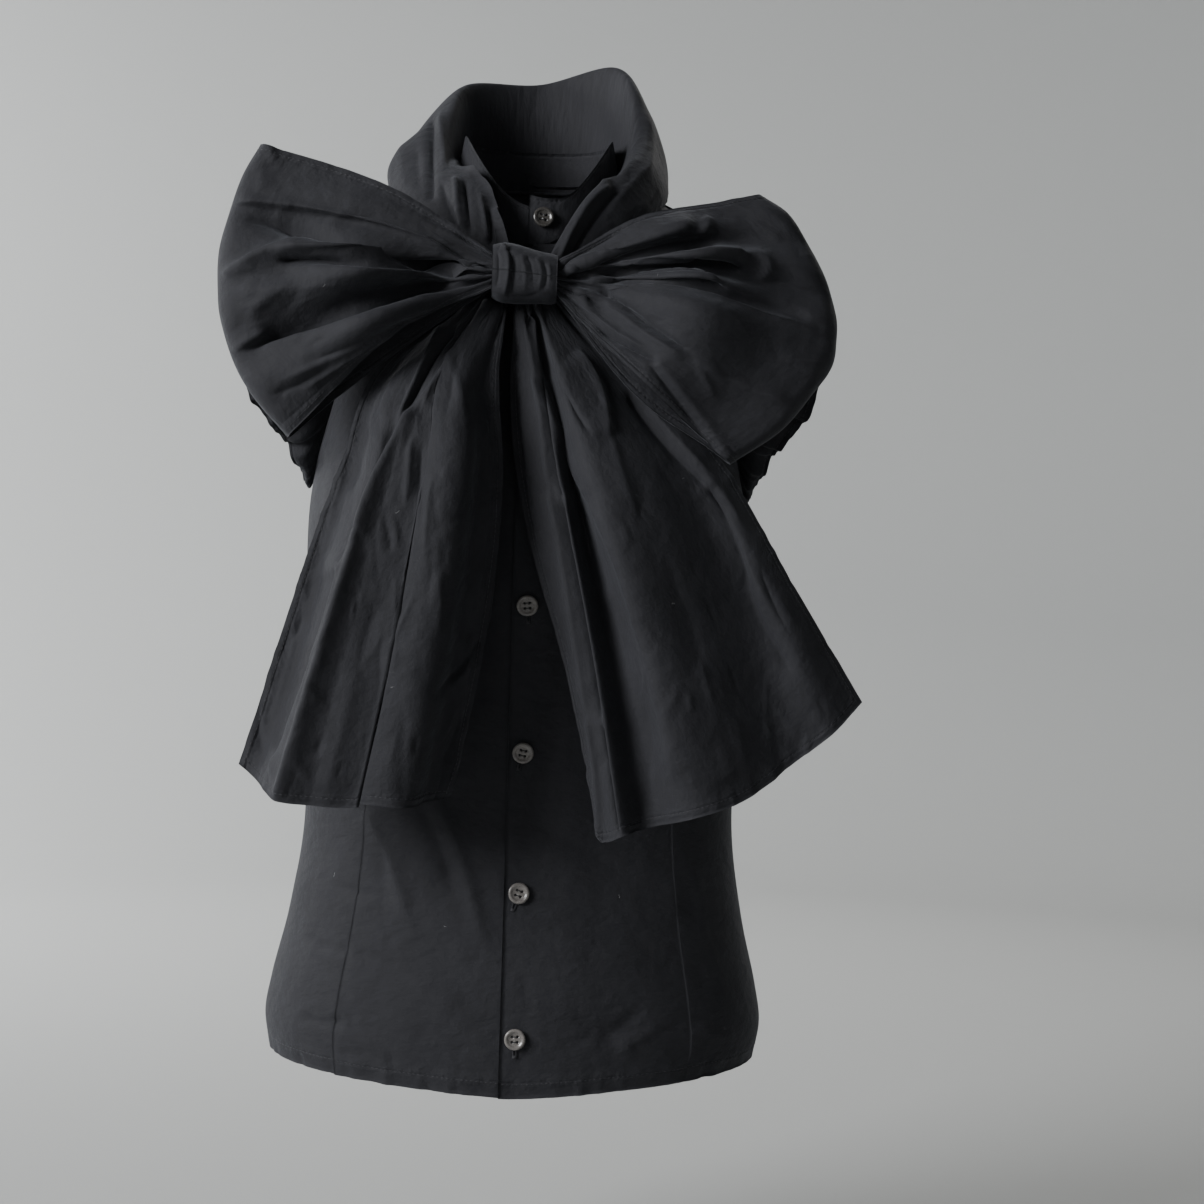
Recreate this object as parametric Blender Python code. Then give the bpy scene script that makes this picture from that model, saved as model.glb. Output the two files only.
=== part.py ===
"""Tie neck blouse in black cotton poplin, in the form it has when worn, with nobody in it.

Metres, +Z up. The front faces -Y and +X is the wearer's left. The origin is the middle of
the neck at the height where shoulder and neck meet. Tables are in millimetres.
Each cut piece is one sheet: a smooth middle surface given thickness on both sides.
"""
import bpy
import math
import numpy as np

MM = 0.001

# Named sizes, in millimetres
CLOTH = 1.2              # wall of one sewn layer
TIE_CLOTH = 1.3          # wall of the tie, which is turned and stitched at its edges
SEAM_GAP = 0.3           # air between two pieces at a seam
OVERLAP = 8.0            # how far the front edge lies past the centre line
UNDERLAP = 12.0          # how far the under front reaches below it
LAYER = CLOTH + SEAM_GAP  # step from one layer to the next
PRINCESS = 0.46          # place of the princess seam between centre and side
LIFT_ACROSS = (0.10, 0.12)  # the upper front comes down to the other side after this place
LIFT_UP = (0.92, 0.05)   # and at this level below the shoulder
BAND_HEIGHT = 23.0       # neckband
BAND_LEAN = 3.5          # the neckband leans in towards the neck
BAND_UNDER_END = 13.0    # degrees round the neck where the band starts, below its other end
BAND_TOP_END = -366.0    # and where it ends, on top
BAND_LIFT = (318.0, 24.0)   # from this turn, over so many degrees, it lies on the other end
BAND_POINT = (330.0, 36.0, 7.0)   # its corner rises here, over so many degrees, by this much
BAND_SET_IN = 0.4        # the band stands this much inside the neckline
NECK_HALF_WIDTH = 52.0
NECK_HALF_DEPTH = 60.0
NECK_CENTRE_Y = -4.0
SHOULDER_Z = -2.0        # height of the neckline at the shoulder seam
FRONT_DROP = 56.0        # the neckline is this much lower at the front
BACK_RISE = 4.0          # and this much higher at the back
BUTTON_RADIUS = 6.5
BUTTON_HEIGHT = 2.4
BUTTON_HOLE_RADIUS = 0.8
BUTTON_HOLE_SPREAD = 1.6
BUTTON_X = 0.8
BAND_BUTTON_X = 4.0
BUTTON_HEIGHTS = (-40.5, -108.0, -196.0, -284.0, -373.0, -461.0, -547.0)

# Colours as seen in daylight
BLACK_POPLIN = (0.018, 0.018, 0.021)
SMOKE_SHELL = (0.075, 0.066, 0.060)

# Front of the body from hem to shoulder. Each row is one level: the share of the way up,
# the point on the centre line (y, z) and the point on the side seam or armhole (x, y, z).
FRONT_LEVELS = (
    # share centre_y centre_z side_x side_y side_z
    (0.00, -101.0, -584.0, 158.0, 0.0, -573.0),
    (0.05, -101.5, -556.0, 161.5, 0.0, -551.0),
    (0.10, -100.0, -530.0, 158.0, 0.0, -528.0),
    (0.18, -95.0, -485.0, 148.0, 0.0, -485.0),
    (0.30, -88.0, -415.0, 139.5, 0.0, -415.0),
    (0.42, -93.0, -340.0, 140.5, 0.0, -340.0),
    (0.57, -108.0, -245.0, 143.0, 0.0, -245.0),
    (0.66, -104.0, -190.0, 139.0, 0.0, -200.0),
    (0.70, -99.0, -167.0, 134.0, -20.0, -187.0),
    (0.76, -88.0, -130.0, 123.0, -37.0, -152.0),
    (0.84, -72.0, -85.0, 114.0, -42.0, -108.0),
    (0.89, -64.0, -58.0, 112.0, -37.0, -80.0),
    (0.95, -58.0, -50.0, 117.0, -20.0, -52.0),
    (1.00, -52.0, -45.0, 124.0, -3.0, -38.0),
)

# Back of the body, in the same columns
BACK_LEVELS = (
    # share centre_y centre_z side_x side_y side_z
    (0.00, 100.0, -582.0, 158.0, 0.0, -573.0),
    (0.05, 100.5, -556.0, 161.5, 0.0, -551.0),
    (0.10, 99.0, -530.0, 158.0, 0.0, -528.0),
    (0.18, 90.0, -485.0, 148.0, 0.0, -485.0),
    (0.30, 66.0, -415.0, 139.5, 0.0, -415.0),
    (0.42, 68.0, -340.0, 140.5, 0.0, -340.0),
    (0.57, 82.0, -245.0, 143.0, 0.0, -245.0),
    (0.66, 88.0, -190.0, 139.0, 0.0, -200.0),
    (0.70, 89.0, -165.0, 135.0, 19.0, -187.0),
    (0.76, 90.0, -125.0, 126.0, 34.0, -152.0),
    (0.84, 84.0, -70.0, 119.0, 38.0, -108.0),
    (0.89, 72.0, -27.0, 117.0, 33.0, -84.0),
    (0.93, 56.0, 2.0, 118.0, 24.0, -64.0),
    (0.96, 56.0, 2.0, 120.0, 14.0, -52.0),
    (1.00, 56.0, 2.0, 124.0, -3.0, -38.0),
)

FRONT_NECK_SHARE = 0.89   # the level where the centre front ends at the neckband
BACK_NECK_SHARE = 0.93
BODY_SQUARENESS = 0.90    # 1 is an ellipse, less is squarer
BUST = (66.0, -225.0, 34.0, 48.0, 9.0)   # x, z, half width, half height, how far it stands out

# Loop on the wearer's right (image left). A row is one fold line that runs out from the
# knot, round the outer end and back behind: place across the band, middle (x, z), outer
# end (x, z), depth of the front at the middle, depth and radius of the outer turn, depth
# of the back layer at the middle.
LOOP_RIGHT = (
    # across mid_x mid_z end_x end_z front turn radius back
    (0.00, -92.0, -33.0, -168.0, -10.0, -114.0, -101.0, 6.0, -92.0),
    (0.16, -102.0, -47.0, -179.0, -31.0, -119.0, -101.0, 8.0, -92.0),
    (0.27, -106.0, -58.0, -185.0, -51.0, -117.0, -102.0, 9.0, -92.0),
    (0.38, -110.0, -71.0, -190.0, -75.0, -139.0, -106.0, 15.0, -93.0),
    (0.50, -107.0, -83.0, -190.0, -100.0, -137.0, -107.0, 16.0, -95.0),
    (0.60, -104.0, -91.0, -188.0, -116.0, -144.0, -108.0, 15.0, -98.0),
    (0.70, -105.0, -106.0, -181.0, -138.0, -130.0, -109.0, 10.0, -102.0),
    (0.84, -97.0, -121.0, -168.0, -161.0, -146.0, -113.0, 14.0, -107.0),
    (1.00, -84.0, -126.0, -145.0, -187.0, -131.0, -113.0, 7.0, -109.0),
)

# Loop on the wearer's left (image right), in the same columns
LOOP_LEFT = (
    # across mid_x mid_z end_x end_z front turn radius back
    (0.00, 66.0, -46.0, 136.0, -29.0, -115.0, -100.0, 6.0, -92.0),
    (0.12, 86.0, -57.0, 155.0, -42.0, -125.0, -101.0, 9.0, -92.0),
    (0.20, 90.0, -64.0, 166.0, -59.0, -121.0, -102.0, 9.0, -92.0),
    (0.29, 92.0, -72.0, 176.0, -78.0, -139.0, -104.0, 14.0, -92.0),
    (0.37, 94.0, -80.0, 181.0, -92.0, -129.0, -104.0, 11.0, -93.0),
    (0.45, 97.0, -87.0, 184.0, -105.0, -142.0, -105.0, 14.0, -94.0),
    (0.53, 97.0, -96.0, 184.0, -117.0, -131.0, -106.0, 12.0, -96.0),
    (0.62, 98.0, -106.0, 182.0, -131.0, -146.0, -109.0, 15.0, -99.0),
    (0.76, 92.0, -124.0, 169.0, -151.0, -145.0, -114.0, 12.0, -107.0),
    (0.88, 78.0, -137.0, 150.0, -174.0, -140.0, -118.0, 9.0, -113.0),
    (1.00, 62.0, -146.0, 120.0, -195.0, -137.0, -122.0, 6.0, -117.0),
)

BACK_DROP = 9.0          # the back layer of a loop hangs this much below the front one
LOOP_TURN = (0.45, 0.55)  # the outer turn lies between these shares of the fold line
# How the loop leaves the knot: share of the way, how far the front has come forward there
# and what share of its depth the back has; then where the turn begins to pull, and the
# share of the depth that is left there at the front and behind
LOOP_THROAT = (0.16, 1.5, 0.30)
LOOP_PULL = (0.82, 0.25, 0.20)

# Where the loops enter the knot: x, height of the upper and lower edge, front, back
THROAT_RIGHT = (-21.0, -75.5, -90.0, -113.8, -104.0)
THROAT_LEFT = (8.0, -79.5, -90.5, -112.4, -104.0)

# Tail on the wearer's right (image left). A row is one fold line from knot to hem: place
# across, x at five steps down, height at the hem, depth at the five steps.
TAIL_RIGHT = (
    # across x0 x1 x2 x3 x4 hem_z y0 y1 y2 y3 y4
    (0.00, -36.0, -83.0, -114.0, -142.0, -168.0, -383.0, -86.5, -102.0, -121.0, -121.0, -117.0),
    (0.12, -33.0, -76.0, -106.0, -132.0, -157.0, -391.0, -87.4, -104.0, -126.0, -126.0, -124.0),
    (0.24, -30.0, -67.0, -95.0, -121.0, -142.0, -401.0, -89.5, -113.0, -147.0, -150.0, -147.0),
    (0.36, -27.0, -58.0, -82.0, -103.0, -122.0, -403.0, -89.5, -115.0, -144.0, -146.0, -143.0),
    (0.52, -24.0, -48.0, -64.0, -79.0, -97.0, -402.0, -87.4, -111.0, -134.0, -135.0, -131.0),
    (0.68, -21.0, -38.0, -47.0, -58.0, -74.0, -402.0, -89.5, -115.0, -141.0, -142.0, -139.0),
    (0.84, -18.0, -28.0, -31.0, -40.0, -56.0, -401.0, -87.8, -111.0, -133.0, -133.0, -131.0),
    (1.00, -16.0, -20.0, -15.5, -23.0, -41.0, -399.0, -88.4, -108.0, -129.0, -129.0, -127.0),
)

# Tail on the wearer's left (image right), in the same columns
TAIL_LEFT = (
    # across x0 x1 x2 x3 x4 hem_z y0 y1 y2 y3 y4
    (0.00, -11.0, -13.0, -4.0, 26.0, 50.0, -424.0, -87.4, -98.0, -115.0, -116.0, -114.0),
    (0.10, -8.5, -2.0, 13.0, 35.0, 55.0, -423.0, -88.2, -103.0, -125.0, -127.0, -124.0),
    (0.18, -6.0, 4.0, 22.0, 43.0, 61.0, -419.0, -88.9, -107.0, -133.0, -136.0, -133.0),
    (0.27, -4.0, 8.0, 30.0, 55.0, 76.0, -415.0, -87.4, -101.0, -119.0, -123.0, -120.0),
    (0.40, -1.0, 14.0, 41.0, 76.0, 103.0, -406.0, -88.9, -110.0, -143.0, -148.0, -143.0),
    (0.56, 3.0, 28.0, 68.0, 103.0, 135.0, -394.0, -88.9, -103.0, -137.0, -141.0, -137.0),
    (0.72, 7.0, 40.0, 92.0, 132.0, 163.0, -374.0, -87.8, -96.0, -119.0, -125.0, -122.0),
    (0.86, 10.0, 49.0, 103.0, 148.0, 186.0, -355.0, -88.6, -95.0, -117.0, -130.0, -127.0),
    (1.00, 13.0, 57.0, 113.0, 158.0, 205.0, -336.0, -87.2, -93.0, -107.0, -119.0, -115.0),
)
TAIL_TOP_Z = -90.0
TAIL_STEPS = (0.0, 0.14, 0.40, 0.70, 1.0)   # where the five columns are read
TAIL_THROAT = (0.050, 0.32, 0.36)   # just below the knot: place, share of the fan, share of the depth

# Neck part of the tie. A row is one section round the neck, from the knot on the wearer's
# right over the back to the knot on the wearer's left: sewn edge, crest of the roll,
# widest point, free edge, each as x, y, z.
TIE_COLLAR = (
    # sewn_x y z, crest_x y z, wide_x y z, free_x y z
    (-19.0, -88.6, -74.0, -23.0, -89.6, -77.5, -28.0, -86.5, -80.0, -31.0, -82.0, -82.0),
    (-27.0, -83.0, -48.0, -40.0, -85.0, -53.0, -49.0, -82.0, -60.0, -50.0, -75.0, -68.0),
    (-35.0, -71.0, -25.0, -57.0, -73.0, -31.0, -72.0, -67.0, -41.0, -72.0, -60.0, -50.0),
    (-46.0, -55.0, -11.0, -70.0, -48.0, -12.0, -89.0, -40.0, -23.0, -88.0, -36.0, -35.0),
    (-49.5, -30.0, -5.0, -71.0, -15.0, 16.0, -96.0, -10.0, 1.0, -93.0, -10.0, -16.0),
    (-54.0, -4.0, 5.0, -62.0, 8.0, 42.0, -85.0, 12.0, 22.0, -89.0, 14.0, -6.0),
    (-39.6, 41.0, 6.0, -50.0, 37.0, 67.0, -69.0, 46.0, 43.0, -73.0, 50.0, 12.0),
    (0.0, 57.5, 6.0, 0.0, 64.0, 76.0, 0.0, 82.0, 52.0, 0.0, 88.0, 18.0),
    (39.6, 41.0, 6.0, 50.0, 38.0, 83.0, 66.0, 46.0, 54.0, 70.0, 50.0, 14.0),
    (54.0, -4.0, 5.0, 64.0, 14.0, 62.0, 80.0, 14.0, 28.0, 84.0, 14.0, -5.0),
    (49.5, -30.0, -5.0, 69.0, -13.0, 25.0, 83.0, -10.0, 4.0, 85.0, -12.0, -13.0),
    (45.0, -55.0, -14.0, 62.0, -46.0, -2.0, 77.0, -42.0, -18.0, 78.0, -41.0, -30.0),
    (34.0, -67.0, -32.0, 42.0, -68.0, -21.0, 59.0, -66.0, -37.0, 60.0, -62.0, -49.0),
    (21.0, -76.0, -52.0, 25.0, -83.0, -45.0, 37.0, -80.0, -57.0, 39.0, -73.0, -68.0),
    (2.5, -87.0, -79.0, 6.0, -89.8, -76.5, 12.0, -87.8, -79.0, 16.0, -83.0, -82.0),
)

# Knot, from the wearer's right to left: x, centre y, centre z, half depth, half height
KNOT = (
    # x centre_y centre_z half_depth half_height
    (-26.0, -106.0, -82.0, 13.7, 15.4),
    (-22.0, -106.0, -82.5, 14.8, 17.0),
    (-14.0, -106.0, -83.0, 15.4, 17.6),
    (-6.0, -106.0, -84.0, 15.2, 16.6),
    (4.0, -106.0, -85.0, 14.8, 15.0),
    (10.0, -106.0, -85.5, 14.2, 14.6),
    (13.0, -106.0, -85.5, 13.4, 13.8),
)
KNOT_WALL = 2.0
KNOT_SQUARENESS = 0.85

# Sleeve edge, seen round the arm from the underarm over the front: x, y, z
SLEEVE_HEM = (
    # x y z
    (147.0, 0.0, -205.0),
    (158.0, -36.0, -182.0),
    (180.0, -52.0, -150.0),
    (187.0, -42.0, -86.0),
    (187.0, 0.0, -62.0),
    (187.0, 40.0, -86.0),
    (180.0, 50.0, -150.0),
    (158.0, 36.0, -182.0),
    (147.0, 0.0, -205.0),
)
SLEEVE_GATHERS = 13
GATHER_DEPTH = 2.2
SLEEVE_PUFF = 7.0
SLEEVE_EASE = 1.0        # the sleeve seam stands this much outside the armhole
SLEEVE_CLEAR = 0.5       # and this much further from it along the sleeve
UNDERARM = 0.66          # level of the underarm on the body


def through(knots, values, at, firm=False):
    """Smooth line through the rows of a table; a firm one never swings past a row."""
    knots = np.asarray(knots, float)
    values = np.asarray(values, float)
    at = np.asarray(at, float)
    slope = np.gradient(values, knots, axis=0)
    if firm:
        rise = np.diff(values, axis=0) / np.diff(knots).reshape((-1,) + (1,) * (values.ndim - 1))
        turning = rise[:-1] * rise[1:] <= 0
        steep = 2.0 * np.minimum(np.abs(rise[:-1]), np.abs(rise[1:]))
        slope[1:-1] = np.where(turning, 0.0, np.clip(slope[1:-1], -steep, steep))
    low = np.clip(np.searchsorted(knots, at, side="right") - 1, 0, len(knots) - 2)
    span = knots[low + 1] - knots[low]
    s = (at - knots[low]) / span
    shape = s.shape + (1,) * (values.ndim - 1)
    s = s.reshape(shape)
    span = span.reshape(shape)
    return ((2 * s ** 3 - 3 * s ** 2 + 1) * values[low]
            + (s ** 3 - 2 * s ** 2 + s) * span * slope[low]
            + (3 * s ** 2 - 2 * s ** 3) * values[low + 1]
            + (s ** 3 - s ** 2) * span * slope[low + 1])


def ease(value):
    """0 below 0, 1 above 1 and a soft step between."""
    value = np.clip(value, 0.0, 1.0)
    return value * value * (3.0 - 2.0 * value)


def normals(grid, wrap=False):
    """Unit normals of a grid of points; wrap closes it along its first direction."""
    if wrap:
        along = np.roll(grid, -1, axis=0) - np.roll(grid, 1, axis=0)
    else:
        along = np.gradient(grid, axis=0)
    across = np.gradient(grid, axis=1)
    normal = np.cross(along, across)
    return normal / np.linalg.norm(normal, axis=2, keepdims=True)


def add_solid(name, points, faces, look):
    """A closed solid in metres from points in millimetres, facing outward."""
    corners = np.asarray(points, float)
    volume = 0.0
    for face in faces:
        for second, third in zip(face[1:-1], face[2:]):
            volume += np.dot(corners[face[0]], np.cross(corners[second], corners[third]))
    if volume < 0:
        faces = [tuple(reversed(face)) for face in faces]
    mesh = bpy.data.meshes.new(name)
    mesh.from_pydata((corners * MM).tolist(), [], faces)
    mesh.validate()
    mesh.update()
    for polygon in mesh.polygons:
        polygon.use_smooth = True
    solid = bpy.data.objects.new(name, mesh)
    mesh.materials.append(look)
    bpy.context.scene.collection.objects.link(solid)
    return solid


def add_sheet(name, grid, wall, look, wrap=False):
    """A cloth sheet: the grid is its middle, the wall stands half on each side."""
    rows, columns = grid.shape[:2]
    normal = normals(grid, wrap)
    points = np.concatenate([(grid + normal * wall / 2).reshape(-1, 3),
                             (grid - normal * wall / 2).reshape(-1, 3)])
    other = rows * columns
    faces = []
    last = rows if wrap else rows - 1
    for i in range(last):
        k = (i + 1) % rows
        for j in range(columns - 1):
            a = i * columns + j
            b = i * columns + j + 1
            c = k * columns + j + 1
            d = k * columns + j
            # both sides are split along the same, shorter diagonal, so the wall keeps its thickness
            if np.linalg.norm(points[a] - points[c]) < np.linalg.norm(points[b] - points[d]):
                halves = ((a, b, c), (a, c, d))
            else:
                halves = ((a, b, d), (b, c, d))
            for first, second, third in halves:
                faces.append((first, second, third))
                faces.append((other + third, other + second, other + first))
        for j, flip in ((0, False), (columns - 1, True)):
            a = i * columns + j
            d = k * columns + j
            face = (a, d, other + d, other + a)
            faces.append(tuple(reversed(face)) if flip else face)
    if not wrap:
        for i, flip in ((0, True), (rows - 1, False)):
            for j in range(columns - 1):
                a = i * columns + j
                face = (a, a + 1, other + a + 1, other + a)
                faces.append(tuple(reversed(face)) if flip else face)
    return add_solid(name, points, faces, look)


def inset(grid, start=0.0, end=0.0, left=0.0, right=0.0):
    """Moves the edges of a grid inward by millimetres, to leave the seam gap."""
    grid = grid.copy()
    for amount, edge, inner in ((left, np.s_[:, 0], np.s_[:, 1]), (right, np.s_[:, -1], np.s_[:, -2]),
                                (start, np.s_[0, :], np.s_[1, :]), (end, np.s_[-1, :], np.s_[-2, :])):
        if amount:
            step = grid[inner] - grid[edge]
            grid[edge] += step / np.linalg.norm(step, axis=1, keepdims=True) * amount
    return grid


def principled(name, colour, roughness):
    look = bpy.data.materials.new(name)
    look.use_nodes = True
    shader = look.node_tree.nodes["Principled BSDF"]
    shader.inputs["Base Color"].default_value = (*colour, 1.0)
    shader.inputs["Roughness"].default_value = roughness
    shader.inputs["Metallic"].default_value = 0.0
    return look


def neckline(angle):
    """Seam of body and neckband: 0 is the front, 90 the wearer's left, 180 the back."""
    turn = np.radians(angle)
    level = np.cos(turn) ** 2
    return np.stack([NECK_HALF_WIDTH * np.sin(turn),
                     NECK_CENTRE_Y - NECK_HALF_DEPTH * np.cos(turn),
                     np.where(np.cos(turn) > 0, SHOULDER_Z - FRONT_DROP * level,
                              SHOULDER_Z + BACK_RISE * level)], axis=-1)


def body(levels, neck_share, front, across, share):
    """Point of the body on the wearer's left; across runs from the centre to the side."""
    table = np.array(levels)
    row = through(table[:, 0], table[:, 1:], share, firm=True)
    climb = np.clip((share - neck_share) / (1.0 - neck_share), 0.0, 1.0)
    collar = neckline(90.0 * climb if front else 180.0 - 90.0 * climb)
    above = share > neck_share
    centre_x = np.where(above, collar[:, 0], 0.0)[:, None]
    centre_y = np.where(above, collar[:, 1], row[:, 0])[:, None]
    centre_z = np.where(above, collar[:, 2], row[:, 1])[:, None]
    turn = across * math.pi / 2
    out = np.sign(np.sin(turn)) * np.abs(np.sin(turn)) ** BODY_SQUARENESS
    deep = np.cos(turn) ** BODY_SQUARENESS
    x = centre_x + (row[:, 2:3] - centre_x) * out
    y = row[:, 3:4] + (centre_y - row[:, 3:4]) * deep
    z = centre_z + (row[:, 4:5] - centre_z) * np.abs(out)
    if front:
        bust_x, bust_z, wide, tall, stand = BUST
        y = y - stand * np.exp(-((np.abs(x) - bust_x) / wide) ** 2 - ((z - bust_z) / tall) ** 2)
    return np.stack([x, y, z], axis=-1)


def front_panel(first, last, steps, levels, lift=0.0, reach=0.0):
    """Grid of a front piece; reach carries it past the centre, lift raises that part."""
    share = np.concatenate([np.linspace(0.0, FRONT_NECK_SHARE, levels - 8),
                            FRONT_NECK_SHARE + (1.0 - FRONT_NECK_SHARE) * np.linspace(0.1, 1.0, 8)])
    half = through(np.array(FRONT_LEVELS)[:, 0], np.array(FRONT_LEVELS)[:, 3], share, firm=True)
    past = np.arcsin((reach / half) ** (1.0 / BODY_SQUARENESS)) * 2.0 / math.pi
    past = np.where(share <= FRONT_NECK_SHARE + 1e-6, past, 0.0)
    start = first - past
    across = start[:, None] + (last - start[:, None]) * np.linspace(0.0, 1.0, steps)[None, :]
    grid = body(FRONT_LEVELS, FRONT_NECK_SHARE, True, across, share)
    if lift:
        raised = 1.0 - ease((across - LIFT_ACROSS[0]) / LIFT_ACROSS[1])
        raised = raised * (1.0 - ease((share - LIFT_UP[0]) / LIFT_UP[1]))[:, None]
        grid = grid - normals(grid) * np.sign(normals(grid)[:, :1, 1:2]) * (lift * raised)[:, :, None]
    return grid


def back_panel(steps, levels):
    share = np.concatenate([np.linspace(0.0, BACK_NECK_SHARE, levels - 6),
                            BACK_NECK_SHARE + (1.0 - BACK_NECK_SHARE) * np.linspace(0.15, 1.0, 6)])
    across = np.ones((levels, 1)) * np.linspace(0.0, 1.0, steps)[None, :]
    return body(BACK_LEVELS, BACK_NECK_SHARE, False, across, share)


def mirrored(grid):
    return grid * np.array([-1.0, 1.0, 1.0])


def neckband(around, up):
    """Stand collar strip from its under end, round the back, to its end on top."""
    turn = np.linspace(BAND_UNDER_END, BAND_TOP_END, around)
    foot = neckline(turn)
    foot[:, 2] += CLOTH / 2 + SEAM_GAP * (2.0 + 2.0 * np.clip(np.cos(np.radians(turn)), 0.0, 1.0))
    outward = np.stack([np.sin(np.radians(turn)), -np.cos(np.radians(turn)), 0 * turn], axis=-1)
    on_top = ease((-turn - BAND_LIFT[0]) / BAND_LIFT[1])
    foot = foot + outward * (LAYER * on_top - BAND_SET_IN)[:, None]
    point = BAND_POINT[2] * ease((-turn - BAND_POINT[0]) / BAND_POINT[1])
    rise = np.linspace(0.0, 1.0, up)
    grid = foot[:, None, :] - outward[:, None, :] * (BAND_LEAN * rise ** 1.5)[None, :, None]
    grid[:, :, 2] += (BAND_HEIGHT + point)[:, None] * rise[None, :]
    return grid


def loop(table, throat, across, along):
    """Grid of one bow loop: across the band, and out, round and back along it."""
    table = np.array(table)
    throat_x, upper, lower, throat_front, throat_back = throat
    out_end, back_start = LOOP_TURN
    leave, forward, behind = LOOP_THROAT
    pull, pull_front, pull_back = LOOP_PULL
    v = np.linspace(0.0, 1.0, along)
    lines = []
    for place, mid_x, mid_z, end_x, end_z, front, turn, radius, back in table:
        start = (throat_x, upper + (lower - upper) * place)
        reach = math.hypot(end_x - start[0], end_z - start[1])
        straight = 1.0 - radius / reach
        half = (v - out_end) / (back_start - out_end) * math.pi - math.pi / 2
        f = np.where(v < out_end, v / out_end * straight,
                     np.where(v > back_start, (1.0 - v) / (1.0 - back_start) * straight,
                              straight + (1.0 - straight) * np.cos(half)))
        plan = through((0.0, 0.5, 1.0), (start, (mid_x, mid_z), (end_x, end_z)), f)
        plan[:, 1] -= BACK_DROP * place ** 3 * np.sin(math.pi * f) ** 2 * (v > 0.5)
        knots = (0.0, leave, 0.5, pull * straight, straight)
        near = turn - radius
        front_y = through(knots, (throat_front, throat_front - forward, front,
                                  near + (front - near) * pull_front, near), f)
        far = turn + radius
        back_y = through(knots, (throat_back, throat_back + (back - throat_back) * behind, back,
                                 far + (back - far) * pull_back, far), f)
        y = np.where(v < out_end, front_y,
                     np.where(v > back_start, back_y, turn + radius * np.sin(half)))
        lines.append(np.stack([plan[:, 0], y, plan[:, 1]], axis=-1))
    return through(table[:, 0], np.array(lines), np.linspace(0.0, 1.0, across))


def tail(table, across, along):
    """Grid of one hanging end of the tie."""
    table = np.array(table)
    v = np.linspace(0.0, 1.0, along)
    lines = []
    steps = np.insert(TAIL_STEPS, 1, TAIL_THROAT[0])
    for row in table:
        # under the knot the cloth comes forward at once and then fans out
        x = through(steps, np.insert(row[1:6], 1, row[1] + (row[2] - row[1]) * TAIL_THROAT[1]), v)
        y = through(steps, np.insert(row[7:12], 1, row[7] + (row[8] - row[7]) * TAIL_THROAT[2]), v)
        z = TAIL_TOP_Z + (row[6] - TAIL_TOP_Z) * v
        lines.append(np.stack([x, y, z], axis=-1))
    return through(table[:, 0], np.array(lines), np.linspace(0.0, 1.0, across))


def tie_collar(around, across):
    """Grid of the neck part of the tie."""
    sections = np.array(TIE_COLLAR).reshape(len(TIE_COLLAR), 4, 3)
    steps = np.linalg.norm(np.diff(sections[:, 1], axis=0), axis=1)
    knots = np.concatenate([[0.0], np.cumsum(np.sqrt(steps))])
    rings = through(knots, sections, np.linspace(0.0, knots[-1], around))
    lines = through((0.0, 0.45, 0.72, 1.0), np.swapaxes(rings, 0, 1), np.linspace(0.0, 1.0, across))
    return np.swapaxes(lines, 0, 1)


def knot(around, along):
    """Grid of the wrap: rings about the X axis."""
    table = np.array(KNOT)
    row = through(table[:, 0], table[:, 1:], np.linspace(table[0, 0], table[-1, 0], along))
    x = np.linspace(table[0, 0], table[-1, 0], along)
    turn = np.linspace(0.0, 2 * math.pi, around, endpoint=False)[:, None]
    y = row[:, 0] - row[:, 2] * np.sign(np.cos(turn)) * np.abs(np.cos(turn)) ** KNOT_SQUARENESS
    z = row[:, 1] + row[:, 3] * np.sign(np.sin(turn)) * np.abs(np.sin(turn)) ** KNOT_SQUARENESS
    return np.stack([x + 0 * y, y, z], axis=-1)


def sleeve(around, out):
    """Grid of a cap sleeve on the wearer's left, round the arm and out to the hem."""
    round_arm = np.linspace(0.0, 1.0, around, endpoint=False)
    climb = UNDERARM + (1.0 - UNDERARM) * np.clip(2 * round_arm, 0, 1)
    fall = UNDERARM + (1.0 - UNDERARM) * np.clip(2 - 2 * round_arm, 0, 1)
    front = np.array(FRONT_LEVELS)
    back = np.array(BACK_LEVELS)
    seam_front = through(front[:, 0], front[:, 3:6], climb, firm=True)
    seam_back = through(back[:, 0], back[:, 3:6], fall, firm=True)
    seam = np.where(round_arm[:, None] <= 0.5, seam_front, seam_back)
    ring = SLEEVE_HEM[-3:-1] + SLEEVE_HEM + SLEEVE_HEM[1:3]
    hem = through((np.arange(len(ring)) - 2.0) / (len(SLEEVE_HEM) - 1.0), ring, round_arm)
    share = np.linspace(0.0, 1.0, out)
    away = hem - seam
    away /= np.linalg.norm(away, axis=1, keepdims=True)
    seam = seam + away * (CLOTH / 2 + SEAM_GAP + SLEEVE_CLEAR)
    seam[:, 0] += SLEEVE_EASE
    radial = hem - hem.mean(axis=0)
    radial[:, 0] = 0.0
    radial /= np.linalg.norm(radial, axis=1, keepdims=True)
    wave = GATHER_DEPTH * np.cos(2 * math.pi * SLEEVE_GATHERS * round_arm)
    grid = seam[:, None, :] + (hem - seam)[:, None, :] * share[None, :, None]
    puff = SLEEVE_PUFF * np.sin(math.pi * share)[None, :] + wave[:, None] * (share ** 2)[None, :]
    return grid + radial[:, None, :] * puff[:, :, None]


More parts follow.
